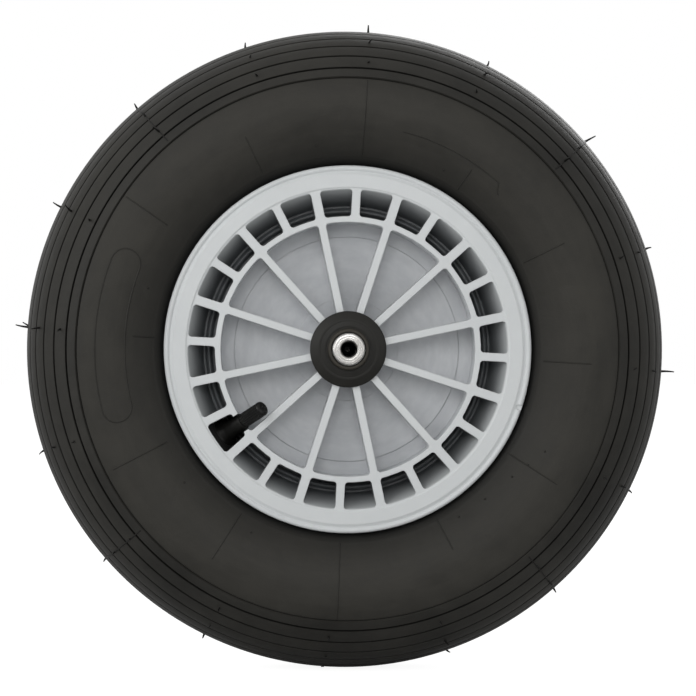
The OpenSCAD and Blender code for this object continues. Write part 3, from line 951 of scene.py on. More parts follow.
@dataclass
class TyreForm:
    """Outer form of the tyre, with its grooves, as a function of two angles.

    A place on it is a section angle, from 0 at the crown towards the valve side, and
    an angle round the wheel, both in degrees.

    Attributes:
        outer_r: Radius of the tyre at the crown.
        half_w: Half its width, which is also the radius of its round section.
        shoulder_step: Height of the tread's edge above the sidewall.
        step_w: Angle in which that step fades.
        shoulder: Section angle of the tread's edge.
        dip_d: Depth of the dip beside the shoulder.
        dip_off: Angle from the shoulder to that dip.
        dip_w: Angle in which the dip fades.
        groove_count: Number of grooves round the tread.
        groove_step: Section angle between two grooves.
        groove_depth: Depth of a groove.
        groove_floor: Half the width of a groove's floor.
        groove_mouth: Half the width of a groove at the ribs.
        rib_crown: How far a rib's edges lie below its middle.
        rim_line_r: Radius of the fine ridge near the rim.
        rim_line_h: Height of that ridge.
        rim_line_w: Distance in which it fades.
        fold_r: Radius where the sidewall folds in over the rim's lip.
        bead_z: Half the width between the flanges.
        bead_w: Width of a bead.
        seat_r: Radius of the bead seat.
        toe_r: Radius where the inner wall starts.
        crown_t: Rubber at the crown.
        wall_t: Rubber in the sidewall.
        wall_steps: Chords in a sidewall.
    """

    outer_r: float = 200.0
    half_w: float = 50.0
    shoulder_step: float = 0.8
    step_w: float = 0.22
    shoulder: float = 69.6
    dip_d: float = 0.6
    dip_off: float = 0.75
    dip_w: float = 0.32
    groove_count: int = 13
    groove_step: float = 10.45
    groove_depth: float = 1.8
    groove_floor: float = 0.22
    groove_mouth: float = 0.68
    rib_crown: float = 0.26
    rim_line_r: float = 118.6
    rim_line_h: float = 0.35
    rim_line_w: float = 0.55
    fold_r: float = 113.8
    bead_z: float = 31.95
    bead_w: float = 8.4
    seat_r: float = 101.65
    toe_r: float = 109.8
    crown_t: float = 9.0
    wall_t: float = 6.0
    wall_steps: int = 44

    # Angles past the shoulder at which its step and its dip are drawn
    SHOULDER_STEPS: ClassVar[tuple[float, ...]] = (
        -2.5, -0.5, 0.0, 0.12, 0.25, 0.42, 0.58, 0.75, 0.95, 1.2, 1.6,
    )
    # Angle past the shoulder at which the plain sidewall starts
    WALL_FROM: ClassVar[float] = 2.4

    @property
    def tread_r(self) -> float:
        """Radius of the tread's round section."""
        return self.half_w + self.shoulder_step

    @property
    def middle_r(self) -> float:
        """Radius of the wheel at the middle of the section."""
        return self.outer_r - self.tread_r

    def groove_at(self, angle: float) -> float:
        """Return how far the tread lies below its crown at a section angle."""
        nearest = round(angle / self.groove_step) * self.groove_step
        off = abs(math.radians(angle - nearest)) * self.tread_r
        half_pitch = math.radians(self.groove_step) * self.tread_r / 2
        flank = self.groove_mouth - self.groove_floor
        share = min(1.0, max(0.0, (off - self.groove_floor) / flank))
        wall = self.groove_depth * (1 - share * share * (3 - 2 * share))
        return wall + self.rib_crown * (1 - off / half_pitch) ** 2

    def reach(self, angle: float) -> float:
        """Return the section's radius at a section angle."""
        size = abs(angle)
        if size <= self.shoulder:
            return self.tread_r - self.groove_at(size)
        radius = self.middle_r + self.half_w * math.cos(math.radians(size))
        off = size - self.shoulder
        ridge = self.rim_line_h * math.exp(-(((radius - self.rim_line_r) / self.rim_line_w) ** 2))
        fade = self.shoulder_step * math.exp(-((off / self.step_w) ** 2))
        dip = self.dip_d * math.exp(-(((off - self.dip_off) / self.dip_w) ** 2))
        return self.half_w + ridge + fade - dip

    def point(self, angle: float, turn: float, lift: float = 0.0) -> Vector:
        """Return the point at both angles, lifted off the surface, in metres."""
        reach = self.reach(angle) + lift
        size = math.radians(angle)
        return around(self.middle_r + reach * math.cos(size), turn, reach * math.sin(size))

    def normal(self, angle: float, turn: float) -> Vector:
        """Return the direction straight out of the section."""
        size = math.radians(angle)
        return around(math.cos(size), turn, math.sin(size)).normalized()

    def section_angles(self) -> list[float]:
        """Return the section angles of the outer skin, from one fold to the other."""
        per_mm = math.degrees(1 / self.tread_r)
        width = self.groove_mouth - self.groove_floor
        flank = [(self.groove_floor + width * k / 4) * per_mm for k in range(5)]
        found = {0.0}
        last = (self.groove_count - 1) // 2
        for i in range(-last, last + 1):
            middle = i * self.groove_step
            found.add(middle)
            for off in flank:
                found.update((middle - off, middle + off))
            if i < last:
                found.update(middle + self.groove_step * k / 4 for k in (1, 2, 3))
        fold = math.degrees(math.acos((self.fold_r - self.middle_r) / self.half_w))
        start = self.shoulder + self.WALL_FROM
        side = [self.shoulder + step for step in self.SHOULDER_STEPS]
        side += [start + (fold - start) * i / self.wall_steps for i in range(self.wall_steps + 1)]
        for angle in side:
            found.update((angle, -angle))
        return sorted(found)

    def section(self) -> list[Point]:
        """Return the whole closed section of the rubber."""
        skin = []
        for angle in self.section_angles():
            size = math.radians(angle)
            reach = self.reach(angle)
            skin.append((self.middle_r + reach * math.cos(size), reach * math.sin(size)))
        upper = skin[-1]
        toe_z = self.bead_z - self.bead_w
        cavity_r = self.half_w - self.wall_t
        cavity_x = self.outer_r - self.crown_t - cavity_r
        bead = rounded(
            [
                (upper[0], upper[1], 0.0),
                (self.fold_r, self.bead_z, 0.8),
                (self.seat_r, self.bead_z, 1.2),
                (self.seat_r, toe_z, 0.8),
                (self.toe_r, toe_z, 0.0),
            ],
            closed=False,
        )[1:]
        start = math.degrees(math.atan2(toe_z, self.toe_r - cavity_x))
        cavity = arc((cavity_x, 0.0), cavity_r, start, -start, 40)[1:-1]
        lower = [(r, -z) for r, z in reversed(bead)]
        return skin + bead + cavity + lower


@dataclass
class PhotoScale:
    """What a radius in the photograph means on the tyre's valve-side wall.

    Attributes:
        mm_per_px: Scale at the wheel's middle plane.
        distance: Distance from the camera to that plane in millimetres.
    """

    mm_per_px: float = 0.6308
    distance: float = 1500.0

    def section_angle(self, form: TyreForm, radius_px: float) -> float:
        """Find the section angle that shows at a radius.

        Args:
            form: The tyre's form.
            radius_px: Radius in the photograph.

        Returns:
            The section angle in degrees.
        """
        low, high = 5.0, 136.0
        for _ in range(30):
            angle = (low + high) / 2
            size = math.radians(angle)
            radius = form.middle_r + form.half_w * math.cos(size)
            nearer = 1 - form.half_w * math.sin(size) / self.distance
            if radius / (self.mm_per_px * nearer) > radius_px:
                low = angle
            else:
                high = angle
        return (low + high) / 2


@dataclass
class Tyre:
    """The tyre: its ribbed skin, what the mould left on it, and its vent hairs.

    Attributes:
        form: Its outer form.
        scale: Scale of the photograph that its marks are placed by.
        segments: Segments round the wheel.
        ridge_w: Width of a mould line.
        ridge_h: Height of a mould line.
        ridge_sink: How deep its foot lies, as a share of its height.
        dam_count: Number of bridges across the ribs.
        dam_from: Angle of the first of them.
        dam_reach: Section angle that they reach on both sides.
        panel: First and last angle of the panel outline.
        panel_r: Middle radius of that outline in the photograph.
        panel_half: Half its width there.
        bow: First and last angle of the bow-shaped line.
        bow_r: Radius of that line in the photograph.
        bow_end: How far its end bends in there.
        bow_turn: Angle of that bend.
        hair_r: Radius of a vent hair at its root.
        hair_seed: Seed of the hairs' bends and lengths.
        hair_root: How deep a hair starts in the rubber.
        hair_min: Length of the shortest plain hair.
        hair_step: Step between the lengths of the plain hairs.
        hair_lengths: Number of those lengths.
        floor_lean: How far a hair that touches the floor stands off the tread.
        first_station: Angle of the first row of vents.
        station_step: Angle between two rows of vents.
    """

    form: TyreForm
    scale: PhotoScale
    segments: int = 256
    ridge_w: float = 1.2
    ridge_h: float = 0.45
    ridge_sink: float = 0.35
    dam_count: int = 4
    dam_from: float = 41.0
    dam_reach: float = 68.0
    panel: Point = (159.0, 194.0)
    panel_r: float = 238.5
    panel_half: float = 15.0
    bow: Point = (76.0, 48.0)
    bow_r: float = 224.6
    bow_end: float = 9.0
    bow_turn: float = 2.2
    hair_r: float = 0.78
    hair_seed: int = 7
    hair_root: float = 0.3
    hair_min: float = 1.8
    hair_step: float = 0.45
    hair_lengths: int = 6
    floor_lean: float = 0.12
    first_station: float = 86.0
    station_step: float = 22.5

    # Mould lines down the sidewall: angle, inner and outer radius in the photograph
    SIDE_LINES: ClassVar[tuple[Corner, ...]] = (
        (26.25, 196, 241), (55.6, 194, 218), (86.0, 194, 270), (116.0, 196, 236),
        (145.6, 219, 269), (176.5, 194, 215), (207.0, 203, 264), (236.8, 196, 250),
        (267.5, 194, 270), (297.5, 193, 226), (327.0, 191, 249), (356.5, 196, 244),
    )
    # Vent pips on the sidewall: angle and radius in the photograph
    PIPS: ClassVar[tuple[Point, ...]] = (
        (-27.5, 222), (-32.8, 214), (-37.9, 208), (-47.6, 203), (-56.6, 201),
        (-118.0, 207), (-141.0, 211), (62.0, 203), (99.0, 206), (163.0, 209),
    )
    # Radius and height of the rings of a pip
    PIP_RINGS: ClassVar[tuple[Point, ...]] = ((0.75, -0.2), (0.65, 0.35), (0.3, 0.6))
    PIP_SIDES: ClassVar[int] = 8
    # Lengths of the hairs that show past the crown, from the first row of vents on
    HAIR_LENGTHS: ClassVar[tuple[float, ...]] = (
        4.6, 3.4, 8.0, 3.6, 8.0, 2.8, 3.2, 2.8, 1.6, 3.0, 2.8, 3.6, 7.6, 6.6, 3.8, 3.2,
    )
    # Rows whose other hairs are long too, and how much longer
    LONG_ROWS: ClassVar[tuple[int, ...]] = (2, 12, 13, 14)
    LONGER: ClassVar[float] = 1.7
    # Section angles of the vents in one row
    VENTS: ClassVar[tuple[float, ...]] = (5.2, -15.7, 36.6, -36.6, 57.5, -57.5)

    def build(self, finishes: Finishes) -> list[Piece]:
        """Build the skin, the mould lines and the hairs."""
        rubber = finishes.of(Look.TYRE)
        mesh = revolved("tyre_skin", self.form.section(), self.segments)
        skin = settle(finished(mesh, rubber, MOULDED_SHARP), Body.WHEEL, "tyre")
        marks = [self.mould_lines(rubber), self.vent_hairs(rubber)]
        return [skin] + [settle(piece, Body.WHEEL) for piece in marks]

    def ridge(
        self, shape: Shape, path: Sequence[Point], closed: bool = False, dam: bool = False
    ) -> None:
        """Sweep a low rounded ridge along the tyre.

        Args:
            shape: The mesh that gets it.
            path: Places as (section angle, angle round the wheel).
            closed: Whether the path joins its start.
            dam: Whether it stands at the ribs' height and fills the grooves under it.
        """
        half = self.ridge_w * MM / 2
        foot = -(self.form.groove_depth + 0.5) / self.ridge_h if dam else -self.ridge_sink
        outline = ((-1.0, foot), (-0.55, 0.6), (0.0, 1.0), (0.55, 0.6), (1.0, foot))
        count = len(path)
        rows = []
        for i, (angle, turn) in enumerate(path):
            ahead = path[(i + 1) % count] if closed else path[min(i + 1, count - 1)]
            behind = path[i - 1] if closed else path[max(i - 1, 0)]
            lift = self.form.groove_at(abs(angle)) if dam else 0.0
            here = self.form.point(angle, turn, lift)
            up = self.form.normal(angle, turn)
            along = self.form.point(*ahead) - self.form.point(*behind)
            side = along.cross(up).normalized()
            points = [here + side * half * x + up * self.ridge_h * MM * y for x, y in outline]
            rows.append([shape.verts.new(point) for point in points])
        swept(shape, rows, closed)

    def pip(self, shape: Shape, angle: float, turn: float) -> None:
        """Put the stub of a vent on the sidewall."""
        up = self.form.normal(angle, turn)
        base = self.form.point(angle, turn)
        side = up.orthogonal().normalized()
        other = up.cross(side)
        rings = []
        for radius, height in self.PIP_RINGS:
            ring = []
            for k in range(self.PIP_SIDES):
                a = 2 * math.pi * k / self.PIP_SIDES
                out = side * math.cos(a) + other * math.sin(a)
                ring.append(shape.verts.new(base + (out * radius + up * height) * MM))
            rings.append(ring)
        swept(shape, rings)

    def side_path(self, points: Sequence[Point]) -> list[Point]:
        """Turn (radius in the photograph, angle) pairs into places on the sidewall."""
        return [(self.scale.section_angle(self.form, radius), turn) for radius, turn in points]

    def panel_path(self) -> list[Point]:
        """Return the outline of the bare panel, which is round at both ends."""
        low, high = self.panel
        middle, half = self.panel_r, self.panel_half
        ends = [(math.sin(math.pi * k / 12), math.cos(math.pi * k / 12)) for k in range(13)]
        per_px = math.degrees(1 / middle)
        panel = [(middle + half * c, high + half * s * per_px) for s, c in ends]
        panel += [(middle - half, high + (low - high) * k / 30) for k in range(1, 30)]
        panel += [(middle - half * c, low - half * s * per_px) for s, c in ends]
        panel += [(middle + half, low + (high - low) * k / 30) for k in range(1, 30)]
        return self.side_path(panel)

    def bow_path(self) -> list[Point]:
        """Return the bow-shaped line, which bends in at its end."""
        start, end = self.bow
        path = [(self.bow_r, start - (start - end) * k / 30) for k in range(31)]
        for k in range(1, 7):
            inwards = self.bow_end * math.sin(math.pi * k / 12)
            path.append((self.bow_r - inwards, end - self.bow_turn * k / 6))
        return self.side_path(path)

    def mould_lines(self, rubber: Material) -> Piece:
        """Build the mould's lines, bare panel outlines and vent stubs."""
        shape = bmesh.new()
        for turn, inner, outer in self.SIDE_LINES:
            path = self.side_path([(inner + (outer - inner) * k / 12, turn) for k in range(13)])
            for sign in (1, -1):
                self.ridge(shape, [(sign * angle, t) for angle, t in path])
        across = [-self.dam_reach + 2 * self.dam_reach * k / 96 for k in range(97)]
        for k in range(self.dam_count):
            turn = self.dam_from + 360.0 / self.dam_count * k
            self.ridge(shape, [(angle, turn) for angle in across], dam=True)
        self.ridge(shape, self.panel_path(), closed=True)
        self.ridge(shape, self.bow_path())
        for turn, radius in self.PIPS:
            angle = self.scale.section_angle(self.form, radius)
            self.pip(shape, angle, turn)
            self.pip(shape, -angle, turn)
        return finished(made_mesh(shape, "tyre_mould_lines"), rubber, SMALL_SHARP)

    def vent_roots(self) -> Piece:
        """Place a point at each vent, with its direction and the length of its hair."""
        roots, outs, lengths = [], [], []
        for i, crown_length in enumerate(self.HAIR_LENGTHS):
            turn = self.first_station - i * self.station_step
            sideways = Vector((1.0 if i % 2 else -1.0, 0.0, 0.0))
            for k, angle in enumerate(self.VENTS):
                up = self.form.normal(angle, turn)
                on_floor = up.z < -0.95
                roots.append(self.form.point(angle, turn, -self.hair_root))
                lean = (up * self.floor_lean + sideways).normalized()
                outs.extend(lean if on_floor else up)
                longer = self.LONGER if i in self.LONG_ROWS else 1.0
                steps = (i * 7 + k * 5) % self.hair_lengths
                stub = (self.hair_min + self.hair_step * steps) * longer
                lengths.append((stub if k else crown_length) * MM)
        mesh = bpy.data.meshes.new("vent_roots")
        mesh.from_pydata(roots, [], [])
        mesh.attributes.new("out", "FLOAT_VECTOR", "POINT").data.foreach_set("vector", outs)
        mesh.attributes.new("length", "FLOAT", "POINT").data.foreach_set("value", lengths)
        piece = bpy.data.objects.new("vent_roots", mesh)
        bpy.context.scene.collection.objects.link(piece)
        return piece

    def vent_hairs(self, rubber: Material) -> Piece:
        """Grow a hair on each vent with Geometry Nodes.

        Args:
            rubber: The tyre's material.

        Returns:
            The hairs as one plain mesh.
        """
        tree = VentHairs.build()
        roots = self.vent_roots()
        grow = roots.modifiers.new("grow", "NODES")
        grow.node_group = tree
        values = {"Root Radius": self.hair_r * MM, "Seed": self.hair_seed, "Rubber": rubber}
        for item in tree.interface.items_tree:
            if item.name in values and item.in_out == "INPUT":
                grow[item.identifier] = values[item.name]
        bpy.context.view_layer.update()
        grown = roots.evaluated_get(bpy.context.evaluated_depsgraph_get())
        mesh = bpy.data.meshes.new_from_object(grown)
        mesh.name = "tyre_vent_hairs"
        bpy.data.objects.remove(roots)
        return finished(mesh, rubber, SMALL_SHARP)


class VentHairs:
    """The Geometry Nodes tree that grows the rubber hairs of the mould's vents.

    A hair is drawn one unit long and RADIUS wide, and then scaled to its own size.
    """

    RADIUS = 0.1
    TIP = 0.45
    RESOLUTION = 7
    SIDES = 6
    INPUTS = {"Geometry": "Geometry", "Root Radius": "Float", "Seed": "Int", "Rubber": "Material"}

    @classmethod
    def hair(cls, graph: Graph) -> Socket:
        """Return one bent hair that grows thinner towards its tip."""
        bend = {"Start": (0, 0, 0), "Middle": (0, 0, 0.5), "End": (0.12, 0.03, 1.0)}
        bend["Resolution"] = cls.RESOLUTION
        curve = graph.node("GeometryNodeCurveQuadraticBezier", bend).outputs[0]
        along = graph.node("GeometryNodeSplineParameter").outputs["Factor"]
        taper = graph.span(along, 0.0, 1.0, 1.0, cls.TIP)
        thin = graph.node("GeometryNodeSetCurveRadius", {"Curve": curve, "Radius": taper})
        sides = {"Resolution": cls.SIDES, "Radius": cls.RADIUS}
        ring = graph.node("GeometryNodeCurvePrimitiveCircle", sides)
        skin = {"Curve": thin.outputs[0], "Profile Curve": ring.outputs[0], "Fill Caps": True}
        return graph.node("GeometryNodeCurveToMesh", skin | {"Scale": taper}).outputs[0]

    @classmethod
    def build(cls) -> Tree:
        """Build the tree.

        Returns:
            The tree, with the inputs Geometry, Root Radius, Seed and Rubber.
        """
        tree = bpy.data.node_groups.new("vent_hairs", "GeometryNodeTree")
        for label, kind in cls.INPUTS.items():
            tree.interface.new_socket(name=label, in_out="INPUT", socket_type="NodeSocket" + kind)
        kind = "NodeSocketGeometry"
        tree.interface.new_socket(name="Geometry", in_out="OUTPUT", socket_type=kind)
        graph = Graph(tree)
        given = graph.node("NodeGroupInput").outputs
        named, random = "GeometryNodeInputNamedAttribute", "FunctionNodeRandomValue"
        length = graph.node(named, {"Name": "length"}, data_type="FLOAT").outputs[0]
        out = graph.node(named, {"Name": "out"}, data_type="FLOAT_VECTOR").outputs[0]
        swing = {"Min": (-0.3, -0.3, 0.0), "Max": (0.3, 0.3, 6.28), "Seed": given["Seed"]}
        spin = graph.node(random, swing, data_type="FLOAT_VECTOR")
        vary = graph.node(random, {2: 0.85, 3: 1.15, "Seed": given["Seed"]}, data_type="FLOAT")
        aimed = graph.node("FunctionNodeAlignRotationToVector", {"Vector": out}, axis="Z")
        spun = graph.node("FunctionNodeEulerToRotation", {0: spin.outputs[0]})
        turns = {"Rotation": aimed.outputs[0], "Rotate By": spun.outputs[0]}
        turned = graph.node("FunctionNodeRotateRotation", turns, rotation_space="LOCAL")
        tall = graph.math("MULTIPLY", length, vary.outputs[1])
        wide = graph.math("MULTIPLY", given["Root Radius"], 1 / cls.RADIUS)
        size = graph.node("ShaderNodeCombineXYZ", {0: wide, 1: wide, 2: tall}).outputs[0]
        copies = {"Points": given["Geometry"], "Instance": cls.hair(graph)}
        copies |= {"Rotation": turned.outputs[0], "Scale": size}
        placed = graph.node("GeometryNodeInstanceOnPoints", copies)
        real = graph.node("GeometryNodeRealizeInstances", {"Geometry": placed.outputs[0]})
        dress = {"Geometry": real.outputs[0], "Material": given["Rubber"]}
        dressed = graph.node("GeometryNodeSetMaterial", dress)
        graph.node("NodeGroupOutput", {"Geometry": dressed.outputs[0]})
        return tree


@dataclass
class HubCap:
    """One black plastic hub cap with its collar round the axle.

    Attributes:
        edge_r: Radius of the cap.
        spigot_r: Radius of the spigot in the hub.
        cavity_r: Radius of the room over the bearing.
        spigot_z: Height of the spigot's foot.
        seat_z: Height of the face that lies on the hub.
        edge_t: Thickness of the edge.
        ring_r: Radius of the low ring on the face.
        collar_r: Outer radius of the collar.
        bore_r: Bore of the collar.
        collar_z: Height of the collar's top.
        segments: Segments round it.
    """

    edge_r: float = 23.5
    spigot_r: float = 17.0
    cavity_r: float = 14.6
    spigot_z: float = 35.2
    seat_z: float = 39.05
    edge_t: float = 1.6
    ring_r: float = 18.3
    collar_r: float = 12.6
    bore_r: float = 10.4
    collar_z: float = 48.2
    segments: int = 128

    def section(self) -> list[Point]:
        """Return the cap's closed section."""
        top = self.seat_z + self.edge_t
        corners = [
            (self.cavity_r, self.spigot_z, 0.2),
            (self.spigot_r, self.spigot_z, 0.4),
            (self.spigot_r, self.seat_z, 0.0),
            (self.edge_r, self.seat_z, 0.3),
            (self.edge_r, top, 0.9),
            (self.edge_r - 1.4, top + 0.9, 0.8),
            (self.ring_r + 0.9, top + 2.15, 0.5),
            (self.ring_r + 0.4, top + 2.4, 0.4),
            (self.ring_r - 0.6, top + 2.5, 0.4),
            (self.ring_r - 1.0, top + 2.4, 0.4),
            (self.collar_r + 1.8, top + 3.0, 0.6),
            (self.collar_r + 0.2, top + 2.8, 0.8),
            (self.collar_r - 0.1, self.collar_z - 0.6, 0.4),
            (self.collar_r - 0.7, self.collar_z, 0.4),
            (self.bore_r + 0.4, self.collar_z, 0.3),
            (self.bore_r, self.collar_z - 0.4, 0.2),
            (self.bore_r, self.seat_z + 1.0, 0.3),
            (self.cavity_r, self.seat_z, 0.2),
        ]
        return rounded(corners, steps=5)

    def build(self, node: str, back: bool, finishes: Finishes) -> Piece:
        """Build the cap.

        Args:
            node: CAD node that it stands for.
            back: Whether it is on the far side.
            finishes: The finishes.

        Returns:
            The piece.
        """
        section = [(r, -z if back else z) for r, z in self.section()]
        mesh = revolved(node + "_moulded", section, self.segments)
        piece = finished(mesh, finishes.of(Look.HUB_CAP), MOULDED_SHARP)
        return settle(piece, Body.WHEEL, node)


@dataclass
class Axle:
    """The turned axle with a thread cut in each end.

    Attributes:
        axle_r: Radius of the axle.
        end_z: Half its length.
        chamfer: Chamfer of its ends.
        drill_r: Radius of the drilled hole, which is the thread's inner radius.
        drill_tip: Angle of the hole's tip in degrees.
        thread_h: Depth of the thread.
        pitch: Pitch of the thread.
        thread_end: Length at the hole's floor that has no thread.
        hole_depth: Depth of the hole.
        sink_w: Width of the countersink.
        groove_low: Lower edge of the retaining ring's groove.
        groove_high: Upper edge of the retaining ring's groove.
        groove_d: Depth of that groove.
        segments: Segments round it.
        sharp: Angle past which its edges stay sharp.
    """

    axle_r: float = 10.0
    end_z: float = 50.0
    chamfer: float = 1.0
    drill_r: float = 4.25
    drill_tip: float = 31.0
    thread_h: float = 0.7
    pitch: float = 1.5
    thread_end: float = 2.2
    hole_depth: float = 25.0
    sink_w: float = 1.6
    groove_low: float = 36.25
    groove_high: float = 37.55
    groove_d: float = 0.55
    segments: int = 96
    sharp: float = 34.0

    def half_section(self) -> list[Point]:
        """Return one half of the section, from the hole's tip to the groove."""
        floor = self.end_z - self.hole_depth
        straight = self.hole_depth - self.sink_w
        mouth_r = self.drill_r + self.sink_w
        rows = int(straight / (self.pitch / 8))
        bore = [(self.drill_r, floor + straight * i / rows) for i in range(rows + 1)]
        sink = [
            (self.drill_r + self.sink_w * k / 4, self.end_z - self.sink_w * (1 - k / 4))
            for k in (1, 2, 3)
        ]
        corners = [
            (mouth_r, self.end_z, 0.0),
            (mouth_r + 0.25, self.end_z, 0.0),
            (self.axle_r - self.chamfer, self.end_z, 0.25),
            (self.axle_r, self.end_z - self.chamfer, 0.25),
            (self.axle_r, self.groove_high, 0.1),
            (self.axle_r - self.groove_d, self.groove_high, 0.1),
            (self.axle_r - self.groove_d, self.groove_low, 0.1),
            (self.axle_r, self.groove_low, 0.0),
        ]
        tip = (0.0, floor - self.drill_r * math.tan(math.radians(self.drill_tip)))
        return [tip] + bore + sink + rounded(corners, closed=False)

    def thread_at(self, radius: float, height: float, turn: float) -> float:
        """Return the radius of the bore where the thread is cut, and the plain one elsewhere."""
        inside = radius < self.drill_r + self.sink_w - 0.01
        depth = self.end_z - abs(height)
        if not inside or depth > self.hole_depth - self.thread_end:
            return radius
        phase = (height / self.pitch - turn / (2 * math.pi)) % 1.0
        share = 1 - abs(2 * phase - 1)
        cut = self.drill_r + self.thread_h * min(1.0, max(0.0, 1.3 * share - 0.15))
        return max(radius, cut)

    def build(self, finishes: Finishes) -> Piece:
        """Build the axle."""
        front = self.half_section()
        section = front + [(r, -z) for r, z in reversed(front)]
        mesh = revolved("axle_turned", section, self.segments, radius_at=self.thread_at)
        piece = finished(mesh, finishes.of(Look.AXLE), self.sharp)
        return settle(piece, Body.AXLE, "axle")


@dataclass
class Valve:
    """The snap-in valve: its rubber body, its fluted cap and the spring in its core.

    Attributes:
        seat: Middle of its seat in the wheel's frame, in metres.
        axis: Direction out of its tip.
        hole_r: Radius of its neck in the rim.
        wall_t: Thickness of the rim there.
        bulb_r: Radius of its inner bulb.
        bulb_l: Length of the bulb.
        foot_r: Radius of its outer flange.
        neck_r: Radius of its neck.
        stem_r: Radius of its brass stem.
        rubber_l: Length of the rubber above the seat.
        cap_r: Radius of the cap.
        cap_low: Place of the cap's foot.
        cap_high: Place of the cap's tip.
        bore_high: Place of the end of the cap's bore.
        flutes: Number of flutes.
        flute_d: Depth of a flute.
        flute_segments: Segments in a flute.
        segments: Segments round the rubber.
        spring_r: Middle radius of the core's spring.
        wire_r: Radius of its wire.
        wire_sides: Sides of the wire.
        turn_steps: Steps in one turn.
        squeeze: How much closer its end turns lie.
        sharp: Angle past which its edges stay sharp.
        spring_turns: Number of its turns.
        spring_low: Place of its foot.
        spring_high: Place of its top, under the pin's collar.
    """

    seat: Vector
    axis: Vector
    hole_r: float = 5.7
    wall_t: float = 4.05
    bulb_r: float = 7.2
    bulb_l: float = 3.35
    foot_r: float = 8.7
    neck_r: float = 5.3
    stem_r: float = 3.85
    rubber_l: float = 18.6
    cap_r: float = 4.7
    cap_low: float = 18.9
    cap_high: float = 36.3
    bore_high: float = 32.6
    flutes: int = 18
    flute_d: float = 0.42
    flute_segments: int = 12
    segments: int = 64
    spring_r: float = 1.2
    wire_r: float = 0.16
    wire_sides: int = 10
    turn_steps: int = 24
    squeeze: float = 0.09
    sharp: float = 50.0
    spring_turns: int = 7
    spring_low: float = 23.01
    spring_high: float = 28.59

    def place(self, x: float, y: float, along: float) -> Vector:
        """Put a point of the valve's own lathe in the wheel's frame."""
        turned = self.axis.to_track_quat("Z", "Y") @ Vector((x, y, along))
        return self.seat + turned * MM

    def rubber_section(self) -> list[Point]:
        """Return the closed section of the rubber body."""
        flare = [
            (self.foot_r, 0.05, 0.0),
            (self.foot_r, 1.7, 0.9),
            (self.foot_r - 1.6, 2.6, 0.8),
            (self.neck_r + 0.5, 5.4, 3.0),
            (self.neck_r, 10.0, 2.0),
            (self.neck_r - 0.1, self.rubber_l - 0.9, 0.6),
            (self.neck_r - 0.8, self.rubber_l, 0.4),
            (self.stem_r, self.rubber_l, 0.0),
        ]
        inner = [
            (self.stem_r, -self.wall_t - self.bulb_l, 0.0),
            (self.bulb_r - 2.6, -self.wall_t - self.bulb_l, 0.5),
            (self.bulb_r, -self.wall_t - 0.6, 0.5),
            (self.bulb_r - 0.4, -self.wall_t, 0.3),
            (self.hole_r, -self.wall_t, 0.0),
            (self.hole_r, 0.05, 0.0),
        ]
        return rounded(inner, closed=False) + rounded(flare, closed=False)

    def cap_section(self) -> list[Point]:
        """Return the section of the cap, from the end of its bore to its tip."""
        steps = 10
        low, high = self.cap_low + 1.3, self.cap_high - 2.0
        bore_r = self.stem_r + 0.05
        skin = [(self.cap_r, low + (high - low) * i / steps) for i in range(steps + 1)]
        bore = [(0.0, self.bore_high), (bore_r, self.bore_high), (bore_r, self.cap_low)]
        foot = [(self.cap_r - 0.3, self.cap_low), (self.cap_r, self.cap_low + 0.4)]
        tip = [
            (self.cap_r, self.cap_high - 1.7, 0.0),
            (self.cap_r - 0.3, self.cap_high - 0.7, 0.5),
            (self.cap_r - 1.5, self.cap_high, 0.8),
            (0.0, self.cap_high, 0.0),
        ]
        return bore + foot + skin + rounded(tip, closed=False)

    def flute_at(self, radius: float, along: float, turn: float) -> float:
        """Return the cap's radius, less where a flute is."""
        outside = radius > self.cap_r - 0.01
        fluted = self.cap_low + 1.0 < along < self.cap_high - 1.9
        if not (outside and fluted):
            return radius
        wave = 0.5 - 0.5 * math.cos(turn * self.flutes)
        return radius - self.flute_d * wave**1.5

    def spring(self, finishes: Finishes) -> Piece:
        """Wind the core's spring."""
        sides, steps = self.wire_sides, self.turn_steps * self.spring_turns
        shape = bmesh.new()
        rows = []
        for i in range(steps + 1):
            t = i / steps
            turn = 2 * math.pi * self.spring_turns * t
            closed_ends = t - self.squeeze * math.sin(2 * math.pi * t)
            height = self.spring_low + (self.spring_high - self.spring_low) * closed_ends
            row = []
            for k in range(sides):
                a = 2 * math.pi * k / sides
                r = self.spring_r + self.wire_r * math.cos(a)
                rise = self.wire_r * math.sin(a)
                point = self.place(r * math.cos(turn), r * math.sin(turn), height + rise)
                row.append(shape.verts.new(point))
            rows.append(row)
        swept(shape, rows)
        mesh = made_mesh(shape, "valve_spring_coil")
        coil = finished(mesh, finishes.of(Look.SPRING), self.sharp)
        start, end = self.place(0, 0, self.spring_low), self.place(0, 0, self.spring_high)
        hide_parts("valve_spring")
        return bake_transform(coil)

    def build(self, finishes: Finishes) -> list[Piece]:
        """Build the rubber body, the cap and the spring."""
        section, segments = self.rubber_section(), self.segments
        mesh = revolved("valve_body", section, segments, self.place)
        body = finished(mesh, finishes.of(Look.RUBBER), MOULDED_SHARP)
        section, segments = self.cap_section(), self.flutes * self.flute_segments
        mesh = revolved("valve_cap_fluted", section, segments, self.place, self.flute_at)
        cap = finished(mesh, finishes.of(Look.VALVE_CAP), MOULDED_SHARP)
        return [
            settle(body, Body.WHEEL, "valve_rubber"),
            settle(cap, Body.CAP, "valve_cap"),
            self.spring(finishes),
        ]


